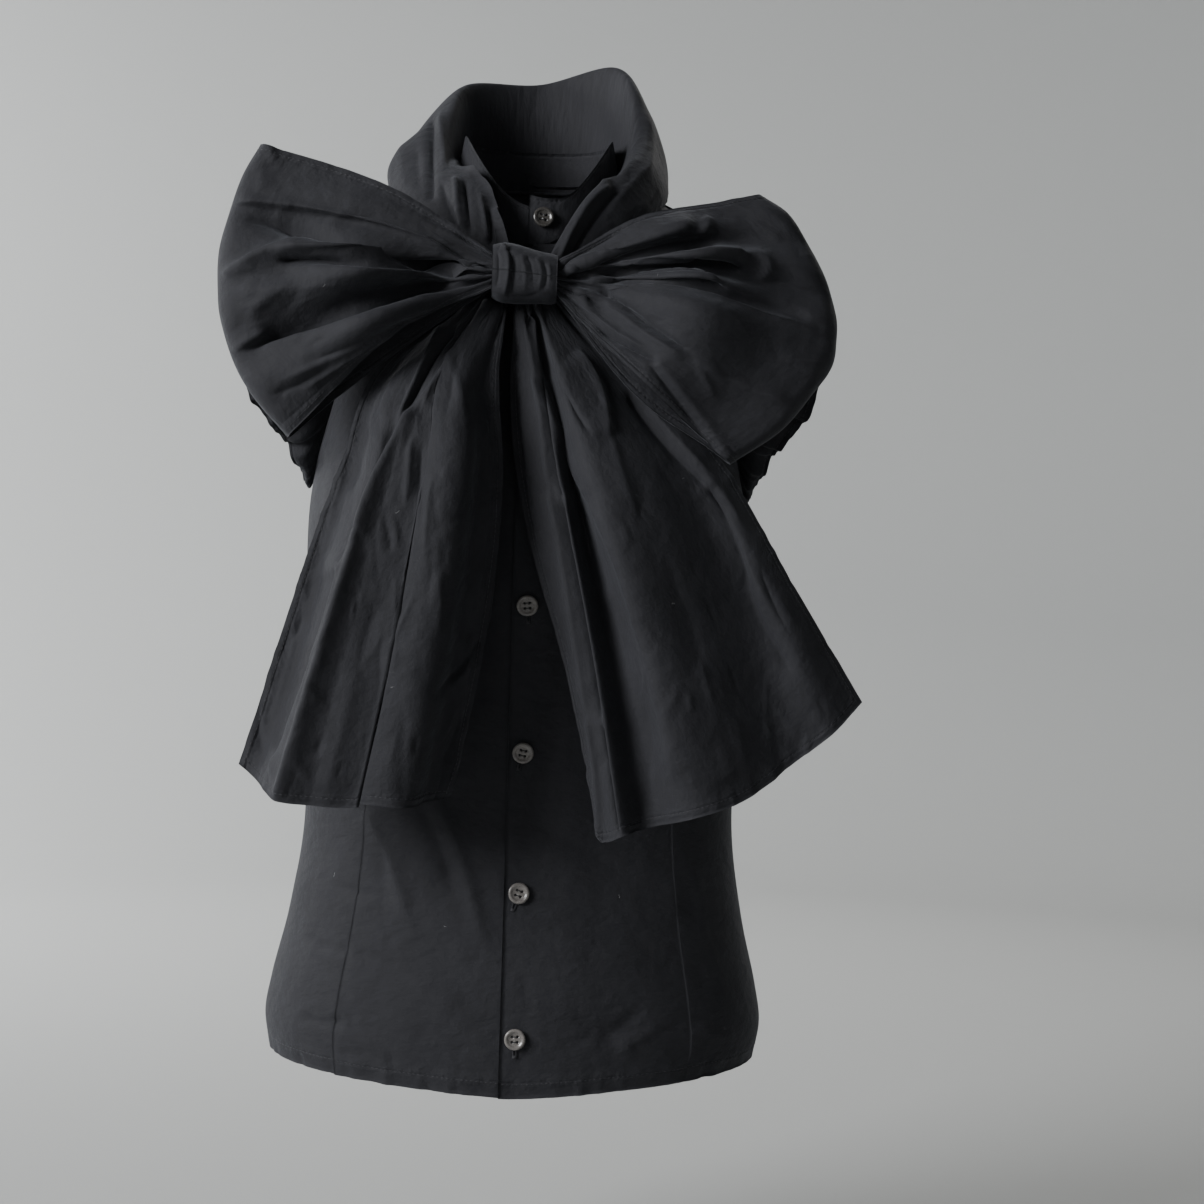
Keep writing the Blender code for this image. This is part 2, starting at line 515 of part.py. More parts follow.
def button_place(height):
    """Point and outward normal of the upper front layer on the button line."""
    share = np.linspace(0.0, FRONT_NECK_SHARE, 200)
    across = np.ones((200, 3)) * np.array([[-0.004, 0.003, 0.010]])
    grid = body(FRONT_LEVELS, FRONT_NECK_SHARE, True, across, share)
    place = int(np.argmin(np.abs(grid[:, 1, 2] - height)))
    normal = normals(grid)[place, 1]
    normal *= -np.sign(normal[1])
    return grid[place, 1] + normal * LAYER, normal


def band_button_place():
    """The same on the end of the neckband that lies on top."""
    grid = neckband(401, 25)[-16:]
    away = np.abs(grid[:, :, 0] - BAND_BUTTON_X) + np.abs(grid[:, :, 2] - BUTTON_HEIGHTS[0])
    i, j = np.unravel_index(np.argmin(away), away.shape)
    normal = normals(grid)[i, j]
    return grid[i, j], normal * -np.sign(normal[1])


def add_button(name, point, normal, look):
    """Four-hole button with a raised rim, standing off the cloth by the seam gap."""
    r = BUTTON_RADIUS
    h = BUTTON_HEIGHT
    profile = ((0.0, 0.25 * h), (0.60 * r, 0.25 * h), (0.74 * r, 0.62 * h), (0.92 * r, 0.62 * h),
               (r, 0.30 * h), (0.80 * r, -0.38 * h), (0.0, -0.38 * h))
    round_steps = 18
    points = [(0.0, 0.0, profile[0][1])]
    for radius, height in profile[1:-1]:
        for step in range(round_steps):
            turn = 2 * math.pi * step / round_steps
            points.append((radius * math.cos(turn), radius * math.sin(turn), height))
    points.append((0.0, 0.0, profile[-1][1]))
    faces = []
    end = len(points) - 1
    rings = len(profile) - 2
    for step in range(round_steps):
        after = (step + 1) % round_steps
        faces.append((0, 1 + step, 1 + after))
        for ring in range(rings - 1):
            low = 1 + ring * round_steps
            high = low + round_steps
            faces.append((low + step, high + step, high + after, low + after))
        low = 1 + (rings - 1) * round_steps
        faces.append((low + step, end, low + after))
    solid = add_solid(name, points, faces, look)
    for side_x in (-1, 1):
        for side_y in (-1, 1):
            bpy.ops.mesh.primitive_cylinder_add(
                vertices=6, radius=BUTTON_HOLE_RADIUS * MM, depth=4 * h * MM,
                location=(side_x * BUTTON_HOLE_SPREAD * MM, side_y * BUTTON_HOLE_SPREAD * MM, 0.0))
            cutter = bpy.context.object
            cut = solid.modifiers.new("hole", "BOOLEAN")
            cut.operation = "DIFFERENCE"
            cut.solver = "EXACT"
            cut.object = cutter
            bpy.context.view_layer.objects.active = solid
            bpy.ops.object.modifier_apply(modifier=cut.name)
            bpy.data.objects.remove(cutter)
    normal = np.asarray(normal) / np.linalg.norm(normal)
    side = np.cross((0.0, 0.0, 1.0), normal)
    side /= np.linalg.norm(side)
    up = np.cross(normal, side)
    stand = CLOTH / 2 + SEAM_GAP + 0.38 * h
    turned = np.array([side, up, normal])
    for vertex in solid.data.vertices:
        local = np.array(vertex.co) / MM
        vertex.co = (local @ turned + point + normal * stand) * MM
    solid.data.update()
    return solid


for leftover in list(bpy.data.objects):
    bpy.data.objects.remove(leftover)

poplin = principled("black_poplin", BLACK_POPLIN, 0.82)
tie_poplin = principled("black_poplin_tie", BLACK_POPLIN, 0.80)
shell = principled("smoke_shell", SMOKE_SHELL, 0.35)

half_gap = SEAM_GAP / 2
shoulder_gap = half_gap + 0.4   # the two slopes meet at an angle
over = front_panel(0.0, PRINCESS, 6, 24, lift=LAYER, reach=OVERLAP)
add_sheet("front_left_centre", inset(over, end=shoulder_gap, right=half_gap), CLOTH, poplin)
under = mirrored(front_panel(0.0, PRINCESS, 6, 24, reach=UNDERLAP))
add_sheet("front_right_centre", inset(under, end=shoulder_gap, right=half_gap), CLOTH, poplin)
side = inset(front_panel(PRINCESS, 1.0, 6, 24), end=shoulder_gap, left=half_gap, right=half_gap + 0.15)
add_sheet("front_left_side", side, CLOTH, poplin)
add_sheet("front_right_side", mirrored(side), CLOTH, poplin)
rear = inset(back_panel(8, 22), end=shoulder_gap, left=half_gap + 0.1, right=half_gap + 0.15)
add_sheet("back_left", rear, CLOTH, poplin)
add_sheet("back_right", mirrored(rear), CLOTH, poplin)

add_sheet("neckband", neckband(46, 3), CLOTH, poplin)
add_sheet("tie_collar", tie_collar(34, 11), TIE_CLOTH, tie_poplin)
add_sheet("loop_right", loop(LOOP_RIGHT, THROAT_RIGHT, 24, 22), TIE_CLOTH, tie_poplin)
add_sheet("loop_left", loop(LOOP_LEFT, THROAT_LEFT, 26, 22), TIE_CLOTH, tie_poplin)
add_sheet("tail_right", tail(TAIL_RIGHT, 24, 16), TIE_CLOTH, tie_poplin)
add_sheet("tail_left", tail(TAIL_LEFT, 26, 16), TIE_CLOTH, tie_poplin)
add_sheet("knot", knot(18, 8), KNOT_WALL, tie_poplin, wrap=True)

cap = sleeve(39, 5)
add_sheet("sleeve_left", cap, CLOTH, poplin, wrap=True)
add_sheet("sleeve_right", mirrored(cap), CLOTH, poplin, wrap=True)

for number, height in enumerate(BUTTON_HEIGHTS, start=1):
    place, facing = band_button_place() if number == 1 else button_place(height)
    add_button("button_" + str(number), place, facing, shell)
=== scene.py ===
import bpy
import math
import numpy as np
from mathutils import Matrix, Vector


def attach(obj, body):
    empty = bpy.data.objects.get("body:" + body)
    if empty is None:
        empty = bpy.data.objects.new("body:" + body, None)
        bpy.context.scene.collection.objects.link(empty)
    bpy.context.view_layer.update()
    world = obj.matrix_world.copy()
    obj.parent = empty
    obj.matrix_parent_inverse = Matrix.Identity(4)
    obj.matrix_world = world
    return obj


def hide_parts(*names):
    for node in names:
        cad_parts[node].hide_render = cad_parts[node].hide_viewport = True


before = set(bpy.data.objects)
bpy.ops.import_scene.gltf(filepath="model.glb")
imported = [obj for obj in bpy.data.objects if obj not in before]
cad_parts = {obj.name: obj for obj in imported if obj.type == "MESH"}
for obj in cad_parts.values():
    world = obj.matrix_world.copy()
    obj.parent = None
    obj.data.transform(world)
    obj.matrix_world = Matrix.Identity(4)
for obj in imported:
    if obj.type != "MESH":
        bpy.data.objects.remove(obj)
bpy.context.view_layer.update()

MM = 0.001
UV_PER_MM = 0.01

# Camera at the photograph's viewing angle
CAMERA_PLACE = (0.0, -1.3, -0.28)
CAMERA_TURN = -2.22      # degrees about Z
CAMERA_ROLL = 1.7
LENS = 58.9
SENSOR = 36.0
PICTURE = 1204.0         # the creases below are placed in a square view this wide

# Named sizes, in millimetres
CLOTH = 1.2              # wall of one sewn layer
SEAM_GAP = 0.3           # air between two pieces at a seam
OVERLAP = 8.0            # how far the front edge lies past the centre line
UNDERLAP = 12.0          # how far the under front reaches below it
LAYER = CLOTH + SEAM_GAP  # step from one layer to the next
PRINCESS = 0.46          # place of the princess seam between centre and side
LIFT_ACROSS = (0.10, 0.12)  # the upper front comes down to the other side after this place
LIFT_UP = (0.92, 0.05)   # and at this level below the shoulder
BAND_HEIGHT = 23.0       # neckband
BAND_LEAN = 3.5          # the neckband leans in towards the neck
BAND_UNDER_END = 13.0    # degrees round the neck where the band starts, below its other end
BAND_TOP_END = -366.0    # and where it ends, on top
BAND_LIFT = (318.0, 24.0)   # from this turn, over so many degrees, it lies on the other end
BAND_POINT = (330.0, 36.0, 7.0)   # its corner rises here, over so many degrees, by this much
BAND_SET_IN = 0.4        # the band stands this much inside the neckline
NECK_HALF_WIDTH = 52.0
NECK_HALF_DEPTH = 60.0
NECK_CENTRE_Y = -4.0
SHOULDER_Z = -2.0        # height of the neckline at the shoulder seam
FRONT_DROP = 56.0        # the neckline is this much lower at the front
BACK_RISE = 4.0          # and this much higher at the back
BUTTON_RADIUS = 6.5
BUTTON_HEIGHT = 2.4
BUTTON_HOLE_RADIUS = 0.8
BUTTON_HOLE_SPREAD = 1.6
BAND_BUTTON_X = 4.0
BUTTON_HEIGHTS = (-40.5, -108.0, -196.0, -284.0, -373.0, -461.0, -547.0)

# Front of the body from hem to shoulder. Each row is one level: the share of the way up,
# the point on the centre line (y, z) and the point on the side seam or armhole (x, y, z).
FRONT_LEVELS = (
    # share centre_y centre_z side_x side_y side_z
    (0.00, -101, -584, 158, 0, -573),
    (0.05, -101.5, -556, 161.5, 0, -551),
    (0.10, -100, -530, 158, 0, -528),
    (0.18, -95, -485, 148, 0, -485),
    (0.30, -88, -415, 139.5, 0, -415),
    (0.42, -93, -340, 140.5, 0, -340),
    (0.57, -108, -245, 143, 0, -245),
    (0.66, -104, -190, 139, 0, -200),
    (0.70, -99, -167, 134, -20, -187),
    (0.76, -88, -130, 123, -37, -152),
    (0.84, -72, -85, 114, -42, -108),
    (0.89, -64, -58, 112, -37, -80),
    (0.95, -58, -50, 117, -20, -52),
    (1.00, -52, -45, 124, -3, -38),
)

# Back of the body, in the same columns
BACK_LEVELS = (
    # share centre_y centre_z side_x side_y side_z
    (0.00, 100, -582, 158, 0, -573),
    (0.05, 100.5, -556, 161.5, 0, -551),
    (0.10, 99, -530, 158, 0, -528),
    (0.18, 90, -485, 148, 0, -485),
    (0.30, 66, -415, 139.5, 0, -415),
    (0.42, 68, -340, 140.5, 0, -340),
    (0.57, 82, -245, 143, 0, -245),
    (0.66, 88, -190, 139, 0, -200),
    (0.70, 89, -165, 135, 19, -187),
    (0.76, 90, -125, 126, 34, -152),
    (0.84, 84, -70, 119, 38, -108),
    (0.89, 72, -27, 117, 33, -84),
    (0.93, 56, 2, 118, 24, -64),
    (0.96, 56, 2, 120, 14, -52),
    (1.00, 56, 2, 124, -3, -38),
)

FRONT_NECK_SHARE = 0.89   # the level where the centre front ends at the neckband
BACK_NECK_SHARE = 0.93
BODY_SQUARENESS = 0.90    # 1 is an ellipse, less is squarer
BUST = (66.0, -225.0, 34.0, 48.0, 9.0)   # x, z, half width, half height, how far it stands out

# Loop on the wearer's right (image left). A row is one fold line that runs out from the
# knot, round the outer end and back behind: place across the band, middle (x, z), outer
# end (x, z), depth of the front at the middle, depth and radius of the outer turn, depth
# of the back layer at the middle.
LOOP_RIGHT = (
    # across mid_x mid_z end_x end_z front turn radius back
    (0.00, -92, -33, -168, -10, -114, -101, 6, -92),
    (0.16, -102, -47, -179, -31, -119, -101, 8, -92),
    (0.27, -106, -58, -185, -51, -117, -102, 9, -92),
    (0.38, -110, -71, -190, -75, -139, -106, 15, -93),
    (0.50, -107, -83, -190, -100, -137, -107, 16, -95),
    (0.60, -104, -91, -188, -116, -144, -108, 15, -98),
    (0.70, -105, -106, -181, -138, -130, -109, 10, -102),
    (0.84, -97, -121, -168, -161, -146, -113, 14, -107),
    (1.00, -84, -126, -145, -187, -131, -113, 7, -109),
)

# Loop on the wearer's left (image right), in the same columns
LOOP_LEFT = (
    # across mid_x mid_z end_x end_z front turn radius back
    (0.00, 66, -46, 136, -29, -115, -100, 6, -92),
    (0.12, 86, -57, 155, -42, -125, -101, 9, -92),
    (0.20, 90, -64, 166, -59, -121, -102, 9, -92),
    (0.29, 92, -72, 176, -78, -139, -104, 14, -92),
    (0.37, 94, -80, 181, -92, -129, -104, 11, -93),
    (0.45, 97, -87, 184, -105, -142, -105, 14, -94),
    (0.53, 97, -96, 184, -117, -131, -106, 12, -96),
    (0.62, 98, -106, 182, -131, -146, -109, 15, -99),
    (0.76, 92, -124, 169, -151, -145, -114, 12, -107),
    (0.88, 78, -137, 150, -174, -140, -118, 9, -113),
    (1.00, 62, -146, 120, -195, -137, -122, 6, -117),
)

BACK_DROP = 9.0          # the back layer of a loop hangs this much below the front one
LOOP_TURN = (0.45, 0.55)  # the outer turn lies between these shares of the fold line
# How the loop leaves the knot: share of the way, how far the front has come forward there
# and what share of its depth the back has; then where the turn begins to pull, and the
# share of the depth that is left there at the front and behind
LOOP_THROAT = (0.16, 1.5, 0.30)
LOOP_PULL = (0.82, 0.25, 0.20)

# Where the loops enter the knot: x, height of the upper and lower edge, front, back
THROAT_RIGHT = (-21.0, -75.5, -90.0, -113.8, -104.0)
THROAT_LEFT = (8.0, -79.5, -90.5, -112.4, -104.0)

# Tail on the wearer's right (image left). A row is one fold line from knot to hem: place
# across, x at five steps down, height at the hem, depth at the five steps.
TAIL_RIGHT = (
    # across x0 x1 x2 x3 x4 hem_z y0 y1 y2 y3 y4
    (0.00, -36, -83, -114, -142, -168, -383, -86.5, -102, -121, -121, -117),
    (0.12, -33, -76, -106, -132, -157, -391, -87.4, -104, -126, -126, -124),
    (0.24, -30, -67, -95, -121, -142, -401, -89.5, -113, -147, -150, -147),
    (0.36, -27, -58, -82, -103, -122, -403, -89.5, -115, -144, -146, -143),
    (0.52, -24, -48, -64, -79, -97, -402, -87.4, -111, -134, -135, -131),
    (0.68, -21, -38, -47, -58, -74, -402, -89.5, -115, -141, -142, -139),
    (0.84, -18, -28, -31, -40, -56, -401, -87.8, -111, -133, -133, -131),
    (1.00, -16, -20, -15.5, -23, -41, -399, -88.4, -108, -129, -129, -127),
)

# Tail on the wearer's left (image right), in the same columns
TAIL_LEFT = (
    # across x0 x1 x2 x3 x4 hem_z y0 y1 y2 y3 y4
    (0.00, -11, -13, -4, 26, 50, -424, -87.4, -98, -115, -116, -114),
    (0.10, -8.5, -2, 13, 35, 55, -423, -88.2, -103, -125, -127, -124),
    (0.18, -6, 4, 22, 43, 61, -419, -88.9, -107, -133, -136, -133),
    (0.27, -4, 8, 30, 55, 76, -415, -87.4, -101, -119, -123, -120),
    (0.40, -1, 14, 41, 76, 103, -406, -88.9, -110, -143, -148, -143),
    (0.56, 3, 28, 68, 103, 135, -394, -88.9, -103, -137, -141, -137),
    (0.72, 7, 40, 92, 132, 163, -374, -87.8, -96, -119, -125, -122),
    (0.86, 10, 49, 103, 148, 186, -355, -88.6, -95, -117, -130, -127),
    (1.00, 13, 57, 113, 158, 205, -336, -87.2, -93, -107, -119, -115),
)
TAIL_TOP_Z = -90.0
TAIL_STEPS = (0.0, 0.14, 0.40, 0.70, 1.0)   # where the five columns are read
TAIL_THROAT = (0.050, 0.32, 0.36)   # just below the knot: place, share of the fan, share of the depth

# Neck part of the tie. A row is one section round the neck, from the knot on the wearer's
# right over the back to the knot on the wearer's left: sewn edge, crest of the roll,
# widest point, free edge, each as x, y, z.
TIE_COLLAR = (
    # sewn_x y z, crest_x y z, wide_x y z, free_x y z
    (-19, -88.6, -74, -23, -89.6, -77.5, -28, -86.5, -80, -31, -82, -82),
    (-27, -83, -48, -40, -85, -53, -49, -82, -60, -50, -75, -68),
    (-35, -71, -25, -57, -73, -31, -72, -67, -41, -72, -60, -50),
    (-46, -55, -11, -70, -48, -12, -89, -40, -23, -88, -36, -35),
    (-49.5, -30, -5, -71, -15, 16, -96, -10, 1, -93, -10, -16),
    (-54, -4, 5, -62, 8, 42, -85, 12, 22, -89, 14, -6),
    (-39.6, 41, 6, -50, 37, 67, -69, 46, 43, -73, 50, 12),
    (0, 57.5, 6, 0, 64, 76, 0, 82, 52, 0, 88, 18),
    (39.6, 41.0, 6.0, 50.0, 38.0, 83.0, 66.0, 46.0, 54.0, 70.0, 50.0, 14.0),
    (54.0, -4.0, 5.0, 64.0, 14.0, 62.0, 80.0, 14.0, 28.0, 84.0, 14.0, -5.0),
    (49.5, -30.0, -5.0, 69.0, -13.0, 25.0, 83.0, -10.0, 4.0, 85.0, -12.0, -13.0),
    (45.0, -55.0, -14.0, 62.0, -46.0, -2.0, 77.0, -42.0, -18.0, 78.0, -41.0, -30.0),
    (34.0, -67.0, -32.0, 42.0, -68.0, -21.0, 59.0, -66.0, -37.0, 60.0, -62.0, -49.0),
    (21.0, -76.0, -52.0, 25.0, -83.0, -45.0, 37.0, -80.0, -57.0, 39.0, -73.0, -68.0),
    (2.5, -87.0, -79.0, 6.0, -89.8, -76.5, 12.0, -87.8, -79.0, 16.0, -83.0, -82.0),
)

# Knot, from the wearer's right to left: x, centre y, centre z, half depth, half height
KNOT = (
    # x centre_y centre_z half_depth half_height
    (-26, -106, -82, 13.7, 15.4),
    (-22, -106, -82.5, 14.8, 17),
    (-14, -106, -83, 15.4, 17.6),
    (-6, -106, -84, 15.2, 16.6),
    (4.0, -106.0, -85.0, 14.8, 15.0),
    (10, -106, -85.5, 14.2, 14.6),
    (13, -106, -85.5, 13.4, 13.8),
)
KNOT_SQUARENESS = 0.85

# Sleeve edge, seen round the arm from the underarm over the front: x, y, z
SLEEVE_HEM = (
    # x y z
    (147, 0, -205),
    (158, -36, -182),
    (180, -52, -150),
    (187, -42, -86),
    (187, 0, -62),
    (187, 40, -86),
    (180, 50, -150),
    (158, 36, -182),
    (147, 0, -205),
)
SLEEVE_GATHERS = 13
GATHER_DEPTH = 2.2
SLEEVE_PUFF = 7.0
SLEEVE_EASE = 1.0        # the sleeve seam stands this much outside the armhole
SLEEVE_CLEAR = 0.5       # and this much further from it along the sleeve
UNDERARM = 0.66          # level of the underarm on the body


def through(knots, values, at, firm=False):
    """Smooth line through the rows of a table; a firm one never swings past a row."""
    knots = np.asarray(knots, float)
    values = np.asarray(values, float)
    at = np.asarray(at, float)
    slope = np.gradient(values, knots, axis=0)
    if firm:
        rise = np.diff(values, axis=0) / np.diff(knots).reshape((-1,) + (1,) * (values.ndim - 1))
        turning = rise[:-1] * rise[1:] <= 0
        steep = 2.0 * np.minimum(np.abs(rise[:-1]), np.abs(rise[1:]))
        slope[1:-1] = np.where(turning, 0.0, np.clip(slope[1:-1], -steep, steep))
    low = np.clip(np.searchsorted(knots, at, side="right") - 1, 0, len(knots) - 2)
    span = knots[low + 1] - knots[low]
    s = (at - knots[low]) / span
    shape = s.shape + (1,) * (values.ndim - 1)
    s = s.reshape(shape)
    span = span.reshape(shape)
    return ((2 * s ** 3 - 3 * s ** 2 + 1) * values[low]
            + (s ** 3 - 2 * s ** 2 + s) * span * slope[low]
            + (3 * s ** 2 - 2 * s ** 3) * values[low + 1]
            + (s ** 3 - s ** 2) * span * slope[low + 1])


def ease(value):
    """0 below 0, 1 above 1 and a soft step between."""
    value = np.clip(value, 0.0, 1.0)
    return value * value * (3.0 - 2.0 * value)


def normals(grid, wrap=False):
    """Unit normals of a grid of points; wrap closes it along its first direction."""
    if wrap:
        along = np.roll(grid, -1, axis=0) - np.roll(grid, 1, axis=0)
    else:
        along = np.gradient(grid, axis=0)
    across = np.gradient(grid, axis=1)
    normal = np.cross(along, across)
    return normal / np.linalg.norm(normal, axis=2, keepdims=True)


def inset(grid, start=0.0, end=0.0, left=0.0, right=0.0):
    """Moves the edges of a grid inward by millimetres, to leave the seam gap."""
    grid = grid.copy()
    for amount, edge, inner in ((left, np.s_[:, 0], np.s_[:, 1]), (right, np.s_[:, -1], np.s_[:, -2]),
                                (start, np.s_[0, :], np.s_[1, :]), (end, np.s_[-1, :], np.s_[-2, :])):
        if amount:
            step = grid[inner] - grid[edge]
            grid[edge] += step / np.linalg.norm(step, axis=1, keepdims=True) * amount
    return grid


def neckline(angle):
    """Seam of body and neckband: 0 is the front, 90 the wearer's left, 180 the back."""
    turn = np.radians(angle)
    level = np.cos(turn) ** 2
    return np.stack([NECK_HALF_WIDTH * np.sin(turn),
                     NECK_CENTRE_Y - NECK_HALF_DEPTH * np.cos(turn),
                     np.where(np.cos(turn) > 0, SHOULDER_Z - FRONT_DROP * level,
                              SHOULDER_Z + BACK_RISE * level)], axis=-1)


def body(levels, neck_share, front, across, share):
    """Point of the body on the wearer's left; across runs from the centre to the side."""
    table = np.array(levels)
    row = through(table[:, 0], table[:, 1:], share, firm=True)
    climb = np.clip((share - neck_share) / (1.0 - neck_share), 0.0, 1.0)
    collar = neckline(90.0 * climb if front else 180.0 - 90.0 * climb)
    above = share > neck_share
    centre_x = np.where(above, collar[:, 0], 0.0)[:, None]
    centre_y = np.where(above, collar[:, 1], row[:, 0])[:, None]
    centre_z = np.where(above, collar[:, 2], row[:, 1])[:, None]
    turn = across * math.pi / 2
    out = np.sign(np.sin(turn)) * np.abs(np.sin(turn)) ** BODY_SQUARENESS
    deep = np.cos(turn) ** BODY_SQUARENESS
    x = centre_x + (row[:, 2:3] - centre_x) * out
    y = row[:, 3:4] + (centre_y - row[:, 3:4]) * deep
    z = centre_z + (row[:, 4:5] - centre_z) * np.abs(out)
    if front:
        bust_x, bust_z, wide, tall, stand = BUST
        y = y - stand * np.exp(-((np.abs(x) - bust_x) / wide) ** 2 - ((z - bust_z) / tall) ** 2)
    return np.stack([x, y, z], axis=-1)


def front_panel(first, last, steps, levels, lift=0.0, reach=0.0):
    """Grid of a front piece; reach carries it past the centre, lift raises that part."""
    share = np.concatenate([np.linspace(0.0, FRONT_NECK_SHARE, levels - 8),
                            FRONT_NECK_SHARE + (1.0 - FRONT_NECK_SHARE) * np.linspace(0.1, 1.0, 8)])
    half = through(np.array(FRONT_LEVELS)[:, 0], np.array(FRONT_LEVELS)[:, 3], share, firm=True)
    past = np.arcsin((reach / half) ** (1.0 / BODY_SQUARENESS)) * 2.0 / math.pi
    past = np.where(share <= FRONT_NECK_SHARE + 1e-6, past, 0.0)
    start = first - past
    across = start[:, None] + (last - start[:, None]) * np.linspace(0.0, 1.0, steps)[None, :]
    grid = body(FRONT_LEVELS, FRONT_NECK_SHARE, True, across, share)
    if lift:
        raised = 1.0 - ease((across - LIFT_ACROSS[0]) / LIFT_ACROSS[1])
        raised = raised * (1.0 - ease((share - LIFT_UP[0]) / LIFT_UP[1]))[:, None]
        grid = grid - normals(grid) * np.sign(normals(grid)[:, :1, 1:2]) * (lift * raised)[:, :, None]
    return grid


def back_panel(steps, levels):
    share = np.concatenate([np.linspace(0.0, BACK_NECK_SHARE, levels - 6),
                            BACK_NECK_SHARE + (1.0 - BACK_NECK_SHARE) * np.linspace(0.15, 1.0, 6)])
    across = np.ones((levels, 1)) * np.linspace(0.0, 1.0, steps)[None, :]
    return body(BACK_LEVELS, BACK_NECK_SHARE, False, across, share)


def mirrored(grid):
    return grid * np.array([-1.0, 1.0, 1.0])


def neckband(around, up):
    """Stand collar strip from its under end, round the back, to its end on top."""
    turn = np.linspace(BAND_UNDER_END, BAND_TOP_END, around)
    foot = neckline(turn)
    foot[:, 2] += CLOTH / 2 + SEAM_GAP * (2.0 + 2.0 * np.clip(np.cos(np.radians(turn)), 0.0, 1.0))
    outward = np.stack([np.sin(np.radians(turn)), -np.cos(np.radians(turn)), 0 * turn], axis=-1)
    on_top = ease((-turn - BAND_LIFT[0]) / BAND_LIFT[1])
    foot = foot + outward * (LAYER * on_top - BAND_SET_IN)[:, None]
    point = BAND_POINT[2] * ease((-turn - BAND_POINT[0]) / BAND_POINT[1])
    rise = np.linspace(0.0, 1.0, up)
    grid = foot[:, None, :] - outward[:, None, :] * (BAND_LEAN * rise ** 1.5)[None, :, None]
    grid[:, :, 2] += (BAND_HEIGHT + point)[:, None] * rise[None, :]
    return grid


def loop(table, throat, across, along):
    """Grid of one bow loop: across the band, and out, round and back along it."""
    table = np.array(table)
    throat_x, upper, lower, throat_front, throat_back = throat
    out_end, back_start = LOOP_TURN
    leave, forward, behind = LOOP_THROAT
    pull, pull_front, pull_back = LOOP_PULL
    v = np.linspace(0.0, 1.0, along)
    lines = []
    for place, mid_x, mid_z, end_x, end_z, front, turn, radius, back in table:
        start = (throat_x, upper + (lower - upper) * place)
        reach = math.hypot(end_x - start[0], end_z - start[1])
        straight = 1.0 - radius / reach
        half = (v - out_end) / (back_start - out_end) * math.pi - math.pi / 2
        f = np.where(v < out_end, v / out_end * straight,
                     np.where(v > back_start, (1.0 - v) / (1.0 - back_start) * straight,
                              straight + (1.0 - straight) * np.cos(half)))
        plan = through((0.0, 0.5, 1.0), (start, (mid_x, mid_z), (end_x, end_z)), f)
        plan[:, 1] -= BACK_DROP * place ** 3 * np.sin(math.pi * f) ** 2 * (v > 0.5)
        knots = (0.0, leave, 0.5, pull * straight, straight)
        near = turn - radius
        front_y = through(knots, (throat_front, throat_front - forward, front,
                                  near + (front - near) * pull_front, near), f)
        far = turn + radius
        back_y = through(knots, (throat_back, throat_back + (back - throat_back) * behind, back,
                                 far + (back - far) * pull_back, far), f)
        y = np.where(v < out_end, front_y,
                     np.where(v > back_start, back_y, turn + radius * np.sin(half)))
        lines.append(np.stack([plan[:, 0], y, plan[:, 1]], axis=-1))
    return through(table[:, 0], np.array(lines), np.linspace(0.0, 1.0, across))


def tail(table, across, along):
    """Grid of one hanging end of the tie."""
    table = np.array(table)
    v = np.linspace(0.0, 1.0, along)
    lines = []
    steps = np.insert(TAIL_STEPS, 1, TAIL_THROAT[0])
    for row in table:
        # under the knot the cloth comes forward at once and then fans out
        x = through(steps, np.insert(row[1:6], 1, row[1] + (row[2] - row[1]) * TAIL_THROAT[1]), v)
        y = through(steps, np.insert(row[7:12], 1, row[7] + (row[8] - row[7]) * TAIL_THROAT[2]), v)
        z = TAIL_TOP_Z + (row[6] - TAIL_TOP_Z) * v
        lines.append(np.stack([x, y, z], axis=-1))
    return through(table[:, 0], np.array(lines), np.linspace(0.0, 1.0, across))


def tie_collar(around, across):
    """Grid of the neck part of the tie."""
    sections = np.array(TIE_COLLAR).reshape(len(TIE_COLLAR), 4, 3)
    steps = np.linalg.norm(np.diff(sections[:, 1], axis=0), axis=1)
    knots = np.concatenate([[0.0], np.cumsum(np.sqrt(steps))])
    rings = through(knots, sections, np.linspace(0.0, knots[-1], around))
    lines = through((0.0, 0.45, 0.72, 1.0), np.swapaxes(rings, 0, 1), np.linspace(0.0, 1.0, across))
    return np.swapaxes(lines, 0, 1)


def knot(around, along):
    """Grid of the wrap: rings about the X axis."""
    table = np.array(KNOT)
    row = through(table[:, 0], table[:, 1:], np.linspace(table[0, 0], table[-1, 0], along))
    x = np.linspace(table[0, 0], table[-1, 0], along)
    turn = np.linspace(0.0, 2 * math.pi, around, endpoint=False)[:, None]
    y = row[:, 0] - row[:, 2] * np.sign(np.cos(turn)) * np.abs(np.cos(turn)) ** KNOT_SQUARENESS
    z = row[:, 1] + row[:, 3] * np.sign(np.sin(turn)) * np.abs(np.sin(turn)) ** KNOT_SQUARENESS
    return np.stack([x + 0 * y, y, z], axis=-1)


